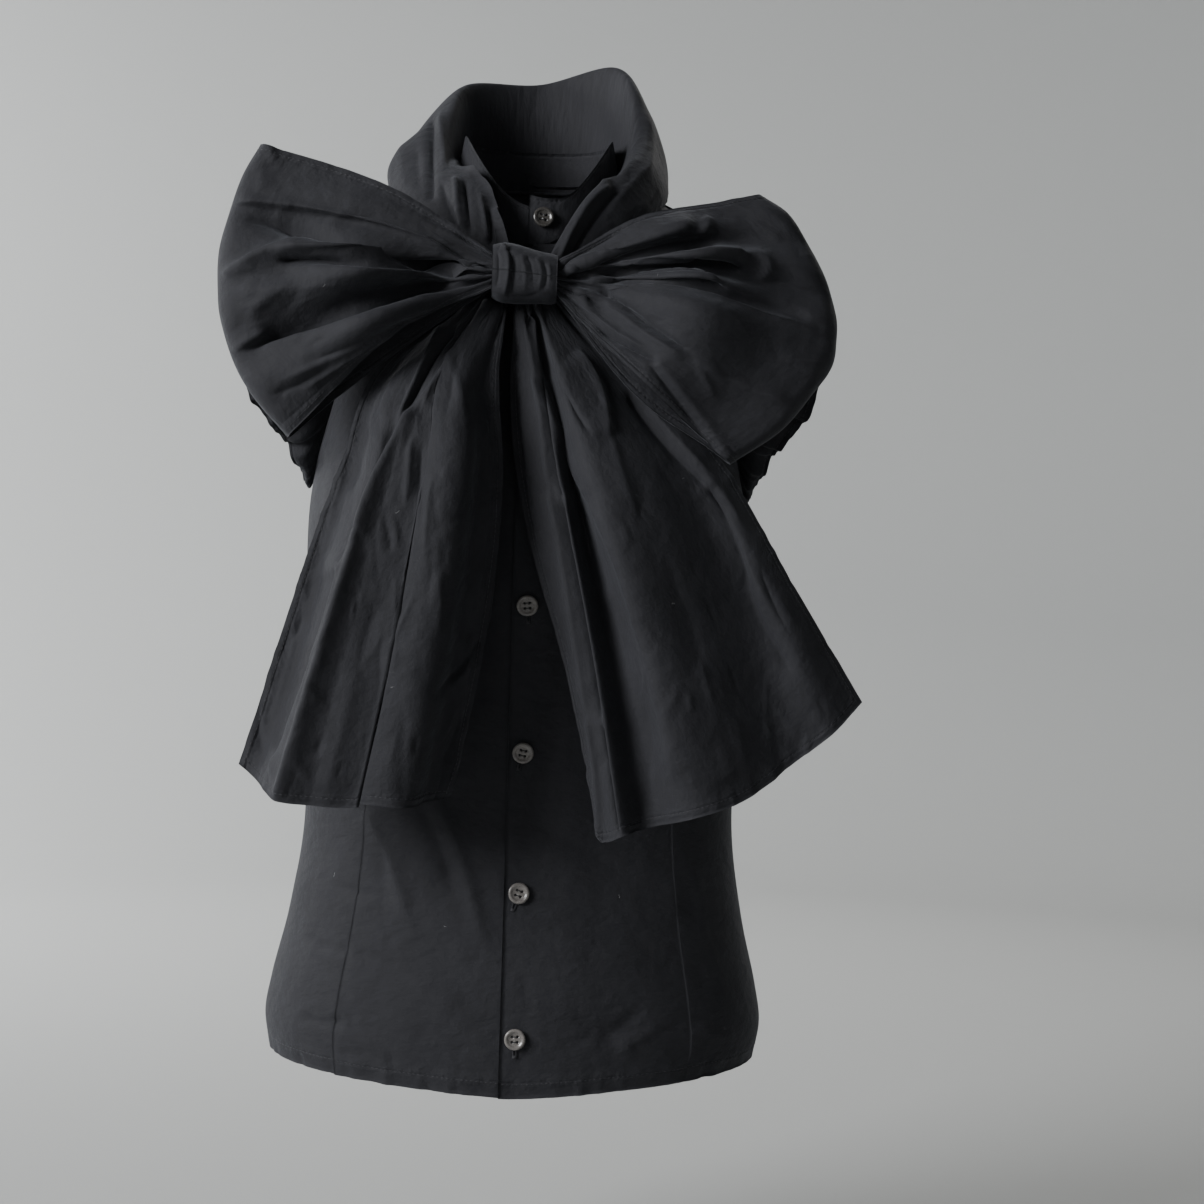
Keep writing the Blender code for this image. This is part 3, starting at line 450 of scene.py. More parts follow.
def sleeve(around, out):
    """Grid of a cap sleeve on the wearer's left, round the arm and out to the hem."""
    round_arm = np.linspace(0.0, 1.0, around, endpoint=False)
    climb = UNDERARM + (1.0 - UNDERARM) * np.clip(2 * round_arm, 0, 1)
    fall = UNDERARM + (1.0 - UNDERARM) * np.clip(2 - 2 * round_arm, 0, 1)
    front = np.array(FRONT_LEVELS)
    back = np.array(BACK_LEVELS)
    seam_front = through(front[:, 0], front[:, 3:6], climb, firm=True)
    seam_back = through(back[:, 0], back[:, 3:6], fall, firm=True)
    seam = np.where(round_arm[:, None] <= 0.5, seam_front, seam_back)
    ring = SLEEVE_HEM[-3:-1] + SLEEVE_HEM + SLEEVE_HEM[1:3]
    hem = through((np.arange(len(ring)) - 2.0) / (len(SLEEVE_HEM) - 1.0), ring, round_arm)
    share = np.linspace(0.0, 1.0, out)
    away = hem - seam
    away /= np.linalg.norm(away, axis=1, keepdims=True)
    seam = seam + away * (CLOTH / 2 + SEAM_GAP + SLEEVE_CLEAR)
    seam[:, 0] += SLEEVE_EASE
    radial = hem - hem.mean(axis=0)
    radial[:, 0] = 0.0
    radial /= np.linalg.norm(radial, axis=1, keepdims=True)
    wave = GATHER_DEPTH * np.cos(2 * math.pi * SLEEVE_GATHERS * round_arm)
    grid = seam[:, None, :] + (hem - seam)[:, None, :] * share[None, :, None]
    puff = SLEEVE_PUFF * np.sin(math.pi * share)[None, :] + wave[:, None] * (share ** 2)[None, :]
    return grid + radial[:, None, :] * puff[:, :, None]


def button_place(height):
    """Point and outward normal of the upper front layer on the button line."""
    share = np.linspace(0.0, FRONT_NECK_SHARE, 200)
    across = np.ones((200, 3)) * np.array([[-0.004, 0.003, 0.010]])
    grid = body(FRONT_LEVELS, FRONT_NECK_SHARE, True, across, share)
    place = int(np.argmin(np.abs(grid[:, 1, 2] - height)))
    normal = normals(grid)[place, 1]
    normal *= -np.sign(normal[1])
    return grid[place, 1] + normal * LAYER, normal


def band_button_place():
    """The same on the end of the neckband that lies on top."""
    grid = neckband(401, 25)[-16:]
    away = np.abs(grid[:, :, 0] - BAND_BUTTON_X) + np.abs(grid[:, :, 2] - BUTTON_HEIGHTS[0])
    i, j = np.unravel_index(np.argmin(away), away.shape)
    normal = normals(grid)[i, j]
    return grid[i, j], normal * -np.sign(normal[1])


# Cloth as it is shown, in millimetres
SHEET = 0.62             # wall of the cloth
TIE_SHEET = 0.80         # the tie is doubled at its turned edges
THREAD_STEP_U = 0.42     # weave: the way from one thread to the next
THREAD_STEP_V = 0.62
STITCH = 2.3             # length of one stitch, and the way to the next
STITCH_STEP = 3.0
THREAD = 0.20            # radius of the thread
STITCH_SIDES = 5
TIE_EDGE = 3.6           # stitches from the long edges of the tie
TIE_HEM = 5.2            # from its hems
BODY_HEM = 9.0           # from the hem of the blouse
SLEEVE_STITCH = 4.0      # from the edge of a sleeve
BAND_STITCH = 1.9        # from the upper edge of the neckband, with the groove beside it
BAND_GROOVE = 1.8
ALLOWANCE = 6.0          # seam allowance that closes a seam from the inside
ALLOWANCE_DEPTH = 1.3
BAND_FOOT = (5.0, 1.5)   # the neckband's allowance: down, and in towards the neck
HALF_GAP = SEAM_GAP / 2
SHOULDER_GAP = HALF_GAP + 0.4
ARMHOLE_GAP = HALF_GAP + 0.15
FAR = 500.0              # way to an edge that a ring doesn't have

# A stitch from end to end: place in its length, width and height as shares of the thread
STITCH_PROFILE = ((-0.5, 0.0, -0.5), (-0.42, 0.8, -0.1), (0.0, 1.0, 0.35), (0.42, 0.8, -0.1),
                  (0.5, 0.0, -0.5))

# Puckers beside stitches: spacing, height and how far they reach in from the edge
HEM_PUCKERS = (11.0, 0.75, 11.0)
COLLAR_PUCKERS = (9.0, 0.5, 9.0)
LOOP_PUCKERS = (11.0, 0.35, 8.0)
TAIL_PUCKERS = (11.0, 0.4, 9.0)
TAIL_HEM_PUCKERS = (10.0, 0.5, 9.0)

# Broad folds of the tail on the wearer's right: place across, width, height
TAIL_RIGHT_SWELLS = ((0.50, 0.13, 16.0), (0.68, 0.12, 12.0))
SWELL_START = (0.08, 0.30)   # they start below the knot and are full this much further down

# Pleats at the knot: number, height and how far they run along the tie
LOOP_GATHERS = (6.0, 1.5, 0.10)
TAIL_GATHERS = (5.0, 1.3, 0.12)

# Creases die out from this place on, over so many millimetres
FRONT_CALM_X = (128.0, 22.0)     # at the side seams
FRONT_CALM_Z = (-140.0, 60.0)    # behind the bow: they are full below it
BACK_CALM_X = (150.0, 20.0)
COLLAR_CALM_Y = 20.0             # from the middle of the neck to the back
LOOP_FRONT = (0.43, 0.07)        # shares of a loop's fold line: only its front is creased

# The creases of a piece are this much higher than they are listed
LOOP_RIGHT_GAIN = 1.5
LOOP_LEFT_GAIN = 1.15
BACK_GAIN = 1.8

SLEEVE_WAVES = ((21, 0.9), (29, 0.7), (38, 0.5), (53, 0.3))   # gathers: number, height

# Front pieces: part of the way from centre to side, lift over the other front, reach past
# the centre line, whether mirrored, seed of its puckers, flat size and area in metres
FRONT_PIECES = (
    ("front_left_centre", 0.0, PRINCESS, LAYER, OVERLAP, False, 21, (0.145, 0.63), 0.064),
    ("front_right_centre", 0.0, PRINCESS, 0.0, UNDERLAP, True, 22, (0.15, 0.63), 0.066),
    ("front_left_side", PRINCESS, 1.0, 0.0, 0.0, False, 23, (0.105, 0.6), 0.046),
    ("front_right_side", PRINCESS, 1.0, 0.0, 0.0, True, 24, (0.105, 0.6), 0.046),
)

# Button from the middle of its face over the rim to the middle of its back: share of the
# radius, share of the height
BUTTON_PROFILE = ((0.0, 0.24), (0.36, 0.22), (0.56, 0.25), (0.62, 0.30), (0.68, 0.46), (0.76, 0.60),
                  (0.84, 0.63), (0.92, 0.58), (0.98, 0.42), (1.0, 0.24), (0.98, 0.06), (0.92, -0.12),
                  (0.80, -0.30), (0.60, -0.37), (0.0, -0.38))
BUTTON_SIDES = 56

# Fluff: piece, shares of the way along the rows and columns of its grid, length
FLUFF = (
    ("front_right_centre", 0.36, 0.45, 2.2), ("front_right_centre", 0.20, 0.40, 1.6),
    ("front_right_side", 0.34, 0.40, 4.5), ("front_right_side", 0.345, 0.36, 3.6),
    ("front_right_side", 0.25, 0.20, 3.0), ("front_left_centre", 0.24, 0.60, 2.2),
    ("tail_left", 0.52, 0.62, 2.2), ("tail_right", 0.60, 0.78, 1.8),
    ("tail_left", 0.72, 0.40, 1.5), ("loop_left", 0.42, 0.18, 1.2),
    ("loop_right", 0.62, 0.30, 2.4), ("tail_right", 0.40, 0.45, 2.6),
)

# Colours of the black cloth in its depth and where it is worn
BLACK_DEEP = (0.0085, 0.0085, 0.0105)
BLACK_WORN = (0.034, 0.034, 0.039)

# Studio, in metres
FLOOR_Z = -0.75
BOWL_RADIUS = 2.9
BOWL_BEND = 0.9          # radius of the round way from the floor to the wall
BOWL_TOP = 2.6
BOWL_SIDES = 96
PALE_WALL = (0.36, 0.365, 0.36)
ROOM_COLOUR = (0.92, 0.95, 1.0)
ROOM_STRENGTH = 0.02
LIGHTS = (
    # name, place, target, width and height, watts, colour
    ("window", (-2.0, -1.25, 0.60), (0.0, 0.0, -0.3), (1.0, 1.2), 92.0, (0.97, 0.985, 1.0)),
    ("wall_wash", (-1.9, 1.0, 0.6), (-0.7, 2.8, -0.4), (0.8, 1.2), 95.0, (0.98, 0.99, 1.0)),
    ("rear", (0.7, 1.6, 1.1), (0.0, 0.0, -0.2), (1.4, 1.4), 22.0, (1.0, 0.98, 0.95)),
)

# Profile of a crease: how many widths it reaches, how round its crest and how steep its flank
CREASE_REACH = 3.2
CREST_ROUND = 0.3
FLANK = 1.35

# Creases are ridges (height above 0) and troughs (below 0) in millimetres, placed in the
# view of the photograph. Each runs through three points. width_a is its soft width above a
# crease that runs to the right, or right of one that runs down, and width_b is the other
# side. fade_0 and fade_1 are the shares of its length over which its ends fade out.
LOOP_RIGHT_CREASES = (
    # x0, y0, x1, y1, x2, y2, height, width_a, width_b, fade_0, fade_1
    (228, 204, 345, 217, 470, 262, 3.6, 13, 3, 0.1, 0.12),
    (236, 214, 345, 234, 470, 268, -11, 5, 12, 0.4, 0.1),
    (222, 278, 270, 250, 352, 229, 4.2, 4, 11, 0.1, 0.35),
    (270, 254, 350, 244, 452, 260, 3.6, 4, 4, 0.2, 0.2),
    (280, 260, 350, 262, 456, 270, -4.2, 3, 4, 0.06, 0.2),
    (284, 268, 360, 268, 460, 273, 2, 3, 10, 0.15, 0.2),
    (228, 290, 275, 290, 350, 284, 2.2, 14, 14, 0.3, 0.4),
    (236, 356, 328, 320, 474, 277, -6.5, 11, 3, 0.35, 0.12),
    (258, 346, 338, 327, 474, 281, 2.6, 3, 14, 0.15, 0.12),
    (236, 354, 250, 341, 272, 330, 4, 10, 8, 0.25, 0.25),
    (226, 300, 230, 335, 240, 380, 1.6, 8, 8, 0.35, 0.35),
    (298, 366, 370, 338, 440, 302, -1.6, 5, 5, 0.25, 0.3),
    (275, 384, 330, 358, 405, 322, 1.6, 6, 6, 0.3, 0.3),
    (262, 396, 300, 384, 335, 358, -1.3, 5, 5, 0.3, 0.3),
    (300, 392, 350, 358, 420, 312, 1.3, 4, 4, 0.3, 0.3),
    (255, 330, 262, 300, 300, 282, 1.4, 8, 8, 0.35, 0.35),
    (424, 236, 458, 254, 488, 270, -2.6, 3, 3, 0.3, 0.05),
    (415, 248, 452, 259, 488, 271, 2.4, 3, 3, 0.3, 0.05),
    (420, 268, 455, 272, 488, 275, -2.4, 3, 3, 0.3, 0.05),
    (415, 278, 450, 277, 488, 277, 2, 3, 3, 0.3, 0.05),
    (420, 298, 455, 287, 488, 280, -2.2, 3, 3, 0.3, 0.05),
    (400, 190, 350, 178, 300, 172, -1, 16, 16, 0.4, 0.4),
    (250, 160, 262, 176, 258, 196, 1.2, 10, 10, 0.35, 0.35),
    (262, 143, 272, 152, 276, 170, 1.8, 6, 8, 0.2, 0.4),
)
LOOP_LEFT_CREASES = (
    (560, 277, 630, 246, 700, 226, 4.2, 14, 3, 0.08, 0.12),
    (562, 280, 640, 256, 722, 242, -8.5, 4, 5, 0.08, 0.2),
    (694, 236, 708, 226, 702, 214, 2.2, 5, 4, 0.3, 0.3),
    (562, 282, 650, 256, 752, 258, 5.4, 4, 4, 0.08, 0.08),
    (738, 256, 766, 264, 748, 288, 3.4, 9, 4, 0.25, 0.3),
    (590, 278, 670, 266, 746, 271, -8.5, 4, 4, 0.12, 0.12),
    (585, 281, 660, 271, 724, 281, 3.4, 3, 3, 0.12, 0.12),
    (595, 285, 670, 278, 728, 293, -7.5, 4, 4, 0.12, 0.2),
    (600, 287, 705, 297, 830, 334, 5, 4, 20, 0.1, 0.2),
    (640, 276, 730, 299, 806, 318, -2.8, 10, 3, 0.3, 0.3),
    (796, 314, 824, 322, 834, 336, 2.4, 9, 9, 0.3, 0.3),
    (600, 287, 646, 323, 694, 354, -5.4, 3, 4, 0.08, 0.25),
    (602, 299, 650, 335, 694, 360, 2.6, 3, 6, 0.15, 0.3),
    (688, 355, 744, 386, 806, 410, 3.2, 11, 5, 0.25, 0.25),
    (576, 287, 602, 322, 652, 352, 2.8, 4, 3, 0.1, 0.2),
    (596, 327, 628, 346, 657, 361, -3.8, 2.5, 3, 0.2, 0.08),
    (654, 358, 690, 403, 731, 462, 2, 12, 3, 0.06, 0.04),
    (650, 364, 684, 409, 727, 464, -2, 2.5, 4, 0.08, 0.08),
    (690, 352, 706, 380, 714, 402, 1.4, 5, 5, 0.35, 0.35),
    (706, 350, 724, 372, 728, 392, -1, 5, 5, 0.35, 0.35),
    (750, 222, 796, 262, 818, 306, 1.6, 12, 12, 0.35, 0.35),
    (640, 222, 690, 206, 750, 200, -1.4, 7, 7, 0.35, 0.35),
    (740, 208, 776, 218, 800, 246, 1.4, 8, 8, 0.35, 0.35),
    (700, 216, 740, 218, 780, 232, -1.2, 8, 8, 0.35, 0.35),
    (560, 270, 590, 250, 640, 224, -2, 3, 3, 0.05, 0.4),
    (770, 350, 800, 362, 824, 360, 1.2, 10, 10, 0.35, 0.35),
)
TAIL_RIGHT_CREASES = (
    (492, 298, 462, 345, 412, 412, 4, 16, 3, 0.08, 0.1),
    (418, 402, 376, 470, 350, 550, 4, 10, 3, 0.12, 0.12),
    (354, 538, 322, 640, 275, 803, 4, 10, 3, 0.1, 0.04),
    (444, 322, 418, 376, 392, 436, 3.4, 3, 3, 0.12, 0.25),
    (456, 326, 432, 362, 402, 416, -5, 4, 3, 0.1, 0.15),
    (404, 414, 362, 490, 336, 570, -5.5, 3, 11, 0.15, 0.15),
    (336, 560, 306, 650, 262, 780, -5, 3, 12, 0.15, 0.15),
    (411, 428, 409, 470, 404, 512, 2, 5, 4, 0.3, 0.3),
    (424, 440, 420, 480, 424, 540, -1.6, 4, 4, 0.3, 0.35),
    (434, 470, 428, 510, 424, 566, 1.6, 3, 4, 0.3, 0.35),
    (381, 508, 388, 532, 391, 556, -1.4, 3, 3, 0.25, 0.25),
    (388, 504, 396, 530, 398, 556, 1, 3, 3, 0.3, 0.3),
    (380, 592, 366, 640, 350, 704, -1.4, 12, 10, 0.3, 0.35),
    (400, 560, 392, 620, 384, 700, 1.2, 14, 12, 0.35, 0.35),
    (440, 560, 436, 600, 442, 640, 1.5, 8, 8, 0.35, 0.35),
    (478, 400, 487, 500, 470, 640, 3, 5, 14, 0.15, 0.2),
    (474, 630, 462, 700, 452, 800, 2.6, 4, 12, 0.2, 0.08),
    (485, 634, 458, 670, 430, 704, -3, 5, 5, 0.15, 0.25),
    (474, 656, 456, 680, 438, 694, 2, 4, 4, 0.25, 0.3),
    (462, 704, 452, 740, 438, 768, -1.8, 4, 5, 0.3, 0.25),
    (470, 700, 462, 740, 448, 786, 1.6, 3, 3, 0.3, 0.25),
    (365, 640, 346, 712, 326, 800, 1.8, 14, 12, 0.3, 0.1),
    (404, 690, 402, 745, 404, 803, -1.8, 14, 14, 0.3, 0.1),
    (442, 344, 458, 384, 462, 430, 2, 7, 7, 0.2, 0.4),
    (462, 346, 452, 390, 440, 440, -1.6, 6, 6, 0.25, 0.35),
    (398, 370, 388, 396, 380, 424, 1.8, 4, 4, 0.3, 0.3),
    (370, 420, 362, 452, 346, 500, -1.4, 4, 4, 0.3, 0.35),
    (348, 450, 334, 510, 318, 570, 1.4, 5, 5, 0.35, 0.35),
    (330, 560, 310, 640, 286, 724, -1.3, 5, 5, 0.35, 0.35),
    (300, 620, 286, 672, 268, 730, 1.5, 5, 5, 0.35, 0.35),
    (262, 700, 258, 734, 266, 772, -1.4, 4, 4, 0.3, 0.3),
    (274, 716, 270, 750, 276, 786, 1.4, 4, 4, 0.3, 0.3),
    (500, 560, 494, 600, 486, 640, 1.2, 3, 3, 0.3, 0.3),
    (498, 500, 500, 540, 496, 580, -1.3, 3, 3, 0.3, 0.3),
)
TAIL_LEFT_CREASES = (
    (520, 306, 538, 380, 552, 500, 3, 2.5, 7, 0.08, 0.12),
    (550, 486, 566, 570, 592, 730, 3, 2.5, 7, 0.12, 0.12),
    (588, 712, 598, 776, 602, 840, 3, 2.5, 6, 0.12, 0.04),
    (528, 312, 544, 390, 562, 510, -5.5, 7, 3, 0.08, 0.12),
    (558, 496, 576, 590, 602, 740, -5.5, 8, 3, 0.12, 0.12),
    (600, 722, 610, 780, 618, 834, -4, 8, 3, 0.12, 0.06),
    (534, 372, 562, 440, 594, 506, 3.4, 14, 4, 0.1, 0.12),
    (588, 492, 618, 560, 640, 632, 3.6, 14, 5, 0.12, 0.12),
    (634, 612, 660, 700, 678, 790, 3.4, 14, 8, 0.12, 0.15),
    (574, 348, 600, 390, 608, 442, 3.6, 3, 12, 0.15, 0.15),
    (560, 384, 576, 412, 592, 436, -2.4, 3, 3, 0.25, 0.3),
    (608, 420, 620, 470, 640, 520, 1.8, 7, 9, 0.3, 0.35),
    (625, 388, 664, 442, 712, 492, -3.6, 4, 6, 0.15, 0.12),
    (706, 484, 732, 530, 748, 590, -4.6, 5, 8, 0.12, 0.12),
    (744, 576, 764, 630, 800, 682, -4, 6, 12, 0.12, 0.25),
    (630, 384, 672, 434, 716, 480, 1.8, 4, 3, 0.2, 0.2),
    (720, 500, 746, 560, 778, 622, 2, 5, 5, 0.25, 0.25),
    (758, 560, 772, 600, 794, 640, -1.4, 4, 4, 0.3, 0.3),
    (700, 470, 724, 496, 744, 530, 1.4, 4, 4, 0.3, 0.3),
    (504, 340, 512, 420, 520, 520, 1.6, 4, 4, 0.2, 0.3),
    (512, 360, 522, 460, 538, 560, -1.6, 4, 4, 0.25, 0.3),
    (530, 560, 552, 650, 580, 746, 1.2, 4, 4, 0.3, 0.3),
    (690, 640, 716, 720, 730, 786, 1.6, 16, 16, 0.3, 0.12),
    (640, 690, 650, 750, 640, 822, -1.6, 9, 9, 0.3, 0.1),
    (660, 560, 690, 620, 706, 700, -1.4, 14, 14, 0.35, 0.35),
    (760, 690, 784, 716, 800, 744, 1.4, 10, 10, 0.3, 0.2),
)
COLLAR_CREASES = (
    (430, 96, 431, 150, 429, 206, -4.5, 5, 4, 0.15, 0.12),
    (440, 100, 442, 140, 444, 172, 2.4, 4, 5, 0.25, 0.25),
    (455, 176, 457, 200, 462, 234, 2.8, 3, 3, 0.15, 0.15),
    (464, 178, 468, 206, 470, 240, -3, 3, 3, 0.15, 0.2),
    (478, 190, 484, 216, 488, 246, 2.6, 4, 3, 0.2, 0.15),
    (488, 206, 490, 226, 490, 246, -2.2, 2.5, 2.5, 0.2, 0.15),
    (442, 178, 448, 206, 466, 240, -2.6, 4, 4, 0.2, 0.2),
    (448, 164, 462, 168, 474, 180, 2.2, 5, 4, 0.25, 0.3),
    (408, 118, 402, 160, 410, 198, 1.8, 10, 10, 0.3, 0.3),
    (416, 140, 418, 170, 422, 202, -1.4, 6, 6, 0.3, 0.3),
    (612, 188, 586, 208, 558, 262, 3, 4, 5, 0.12, 0.1),
    (620, 188, 596, 216, 566, 262, -3, 4, 4, 0.15, 0.15),
    (642, 104, 650, 148, 642, 182, 2.4, 8, 6, 0.25, 0.25),
    (622, 84, 622, 140, 612, 188, -2.2, 6, 6, 0.2, 0.25),
    (604, 112, 607, 160, 602, 190, 1.6, 3, 4, 0.25, 0.25),
    (655, 160, 630, 186, 604, 214, 1.6, 6, 6, 0.3, 0.3),
)
KNOT_CREASES = (
    (502, 245, 509, 262, 504, 298, 1.8, 2, 4, 0.06, 0.12),
    (506, 249, 513, 268, 508, 299, -1.7, 3, 2, 0.06, 0.2),
    (519, 254, 525, 270, 523, 298, 0.8, 4, 3, 0.2, 0.3),
    (526, 256, 532, 268, 533, 290, -0.8, 2, 3, 0.15, 0.4),
    (535, 258, 541, 272, 537, 294, 0.7, 3, 2, 0.1, 0.3),
    (542, 260, 547, 276, 542, 292, -0.8, 2, 2, 0.15, 0.25),
    (514, 254, 516, 264, 515, 278, -0.5, 1.5, 2, 0.2, 0.45),
    (548, 263, 550, 272, 548, 284, 0.6, 2, 2, 0.2, 0.3),
    (508, 292, 524, 297, 542, 290, -0.9, 2, 3, 0.3, 0.3),
    (497, 250, 499, 268, 496, 290, -1, 2, 2, 0.2, 0.2),
)
BODY_CREASES = (
    (365, 806, 394, 872, 416, 950, 2.4, 7, 10, 0.1, 0.35),
    (436, 800, 464, 868, 492, 980, 2.4, 7, 9, 0.1, 0.35),
    (416, 800, 442, 852, 456, 910, -2.6, 9, 9, 0.1, 0.35),
    (380, 830, 384, 880, 380, 930, -1.4, 8, 8, 0.3, 0.4),
    (328, 880, 356, 891, 388, 892, -1.6, 3, 3, 0.3, 0.3),
    (306, 934, 332, 950, 354, 945, -1.6, 3, 4, 0.3, 0.25),
    (354, 950, 376, 958, 404, 968, -1.4, 3, 4, 0.25, 0.35),
    (298, 1012, 322, 1022, 346, 1018, -1.7, 3, 4, 0.3, 0.25),
    (340, 1058, 354, 1050, 374, 1058, -1.4, 3, 4, 0.25, 0.3),
    (300, 940, 322, 956, 346, 958, 1.2, 4, 4, 0.3, 0.3),
    (395, 960, 440, 1000, 486, 1024, 1.4, 10, 10, 0.35, 0.35),
    (300, 860, 294, 910, 284, 960, 1.4, 7, 7, 0.3, 0.35),
    (520, 800, 580, 850, 668, 880, -1.3, 12, 12, 0.3, 0.35),
    (540, 930, 600, 952, 668, 962, 1.4, 12, 12, 0.35, 0.35),
    (560, 1010, 610, 1030, 668, 1022, -1.5, 9, 9, 0.35, 0.35),
    (610, 1062, 640, 1036, 676, 1020, 1.6, 6, 6, 0.3, 0.35),
    (596, 1052, 620, 1026, 650, 1010, -1.4, 6, 6, 0.3, 0.35),
    (690, 1020, 716, 1034, 744, 1030, 1.3, 6, 6, 0.3, 0.35),
    (676, 900, 706, 920, 742, 930, -1.2, 8, 8, 0.25, 0.4),
    (680, 850, 700, 900, 704, 960, 1.2, 8, 8, 0.3, 0.35),
    (345, 470, 335, 500, 324, 528, 1.6, 8, 8, 0.3, 0.3),
    (358, 440, 345, 480, 338, 520, -1.4, 7, 7, 0.3, 0.3),
    (524, 975, 527, 1000, 523, 1016, -0.9, 3, 3, 0.25, 0.25),
    (508, 690, 509, 760, 505, 820, 0.8, 4, 4, 0.3, 0.3),
)

BACK_CREASES = (
    (300, 560, 380, 590, 470, 586, -1.6, 6, 8, 0.3, 0.35),
    (300, 610, 400, 622, 500, 606, 1.8, 7, 9, 0.3, 0.35),
    (740, 640, 660, 660, 560, 640, -1.8, 7, 9, 0.3, 0.35),
    (744, 590, 680, 616, 600, 612, 1.5, 6, 8, 0.3, 0.35),
    (420, 520, 400, 700, 420, 900, 2.4, 16, 20, 0.35, 0.35),
    (640, 520, 660, 700, 640, 900, 2.4, 20, 16, 0.35, 0.35),
    (330, 420, 360, 500, 350, 600, -2, 12, 12, 0.35, 0.35),
    (706, 430, 680, 520, 696, 620, -2, 12, 12, 0.35, 0.35),
    (310, 840, 340, 930, 330, 1010, 1.8, 14, 14, 0.3, 0.35),
    (730, 830, 700, 930, 712, 1020, 1.8, 14, 14, 0.3, 0.35),
    (440, 300, 420, 360, 380, 410, -1.4, 8, 8, 0.3, 0.35),
    (610, 300, 636, 350, 676, 400, -1.4, 8, 8, 0.3, 0.35),
    (470, 960, 540, 975, 620, 962, -1.2, 6, 8, 0.35, 0.35),
)


def view_matrix():
    """Place and turn of the camera."""
    turn = (Matrix.Rotation(math.radians(CAMERA_TURN), 4, "Z")
            @ Matrix.Rotation(math.pi / 2, 4, "X")
            @ Matrix.Rotation(math.radians(CAMERA_ROLL), 4, "Z"))
    return Matrix.Translation(CAMERA_PLACE) @ turn


INTO_VIEW = np.array(view_matrix().inverted())


def unit(vector):
    return vector / np.linalg.norm(vector)


def seen(points):
    """Where points in millimetres lie in the view, from its top left."""
    flat = points.reshape(-1, 3) * MM
    local = flat @ INTO_VIEW[:3, :3].T + INTO_VIEW[:3, 3]
    scale = LENS / SENSOR * PICTURE / -local[:, 2]
    spot = np.stack([PICTURE / 2 + local[:, 0] * scale, PICTURE / 2 - local[:, 1] * scale], axis=-1)
    return spot.reshape(points.shape[:-1] + (2,))


def relief(spots, rows):
    """Height of the creases at the spots."""
    total = np.zeros(spots.shape[:-1])
    t = np.linspace(0.0, 1.0, 19)
    for x0, y0, x1, y1, x2, y2, height, width_a, width_b, fade_0, fade_1 in rows:
        start, middle, end = np.array((x0, y0)), np.array((x1, y1)), np.array((x2, y2))
        bend = 2.0 * middle - (start + end) / 2.0
        line = (((1 - t) ** 2)[:, None] * start + (2 * t * (1 - t))[:, None] * bend
                + (t ** 2)[:, None] * end)
        reach = CREASE_REACH * max(width_a, width_b)
        low, high = line.min(axis=0) - reach, line.max(axis=0) + reach
        near = np.all((spots > low) & (spots < high), axis=-1)
        if not near.any():
            continue
        spot = spots[near]
        best = np.full(len(spot), 1e9)
        side = np.zeros(len(spot))
        along = np.zeros(len(spot))
        for k in range(len(t) - 1):
            run = line[k + 1] - line[k]
            s = np.clip(((spot - line[k]) @ run) / max(run @ run, 1e-9), 0.0, 1.0)
            away = spot - (line[k] + s[:, None] * run)
            distance = np.hypot(away[:, 0], away[:, 1])
            better = distance < best
            best = np.where(better, distance, best)
            side = np.where(better, run[0] * away[:, 1] - run[1] * away[:, 0], side)
            along = np.where(better, (k + s) / (len(t) - 1), along)
        width = np.where(side < 0, width_a, width_b)
        strength = ease(along / max(fade_0, 1e-3)) * ease((1.0 - along) / max(fade_1, 1e-3))
        # a rounded crest with flanks that run out softly, as folded cotton has
        rounded = np.sqrt((best / width) ** 2 + CREST_ROUND ** 2) - CREST_ROUND
        total[near] += height * strength * np.exp(-FLANK * rounded)
    return total


def small_creases(seed, count, box, length, width, height, lean):
    """Seeded rows of faint creases inside a box of the view, leaning about one way."""
    chance = np.random.default_rng(seed)
    rows = []
    x0, y0, x1, y1 = box
    for number in range(count):
        x = chance.uniform(x0, x1)
        y = chance.uniform(y0, y1)
        turn = math.radians(lean + chance.normal(0.0, 20.0))
        run = length * chance.uniform(0.4, 1.6)
        bow = run * chance.normal(0.0, 0.08)
        dx, dy = math.cos(turn) * run / 2, math.sin(turn) * run / 2
        wide = width * chance.uniform(0.5, 1.6)
        tall = height * chance.normal(0.0, 1.0)
        rows.append((x - dx, y - dy, x - math.sin(turn) * bow, y + math.cos(turn) * bow,
                     x + dx, y + dy, tall, wide, wide * chance.uniform(0.6, 1.5), 0.4, 0.4))
    return tuple(rows)


def raised(grid, height, wrap=False):
    """The grid moved along its normals."""
    return grid + normals(grid, wrap) * height[:, :, None]


def raise_creases(grid, rows, way, weight=1.0, wrap=False):
    return raised(grid, way * relief(seen(grid), rows) * weight, wrap)


def swell(grid, place, width, height, way, start):
    """A broad soft rise that runs along the cloth, centred at a place across it."""
    u = np.linspace(0.0, 1.0, grid.shape[0])[:, None]
    v = np.linspace(0.0, 1.0, grid.shape[1])[None, :]
    rise = height * np.exp(-((u - place) / width) ** 2) * ease((v - start[0]) / start[1])
    return raised(grid, way * rise)


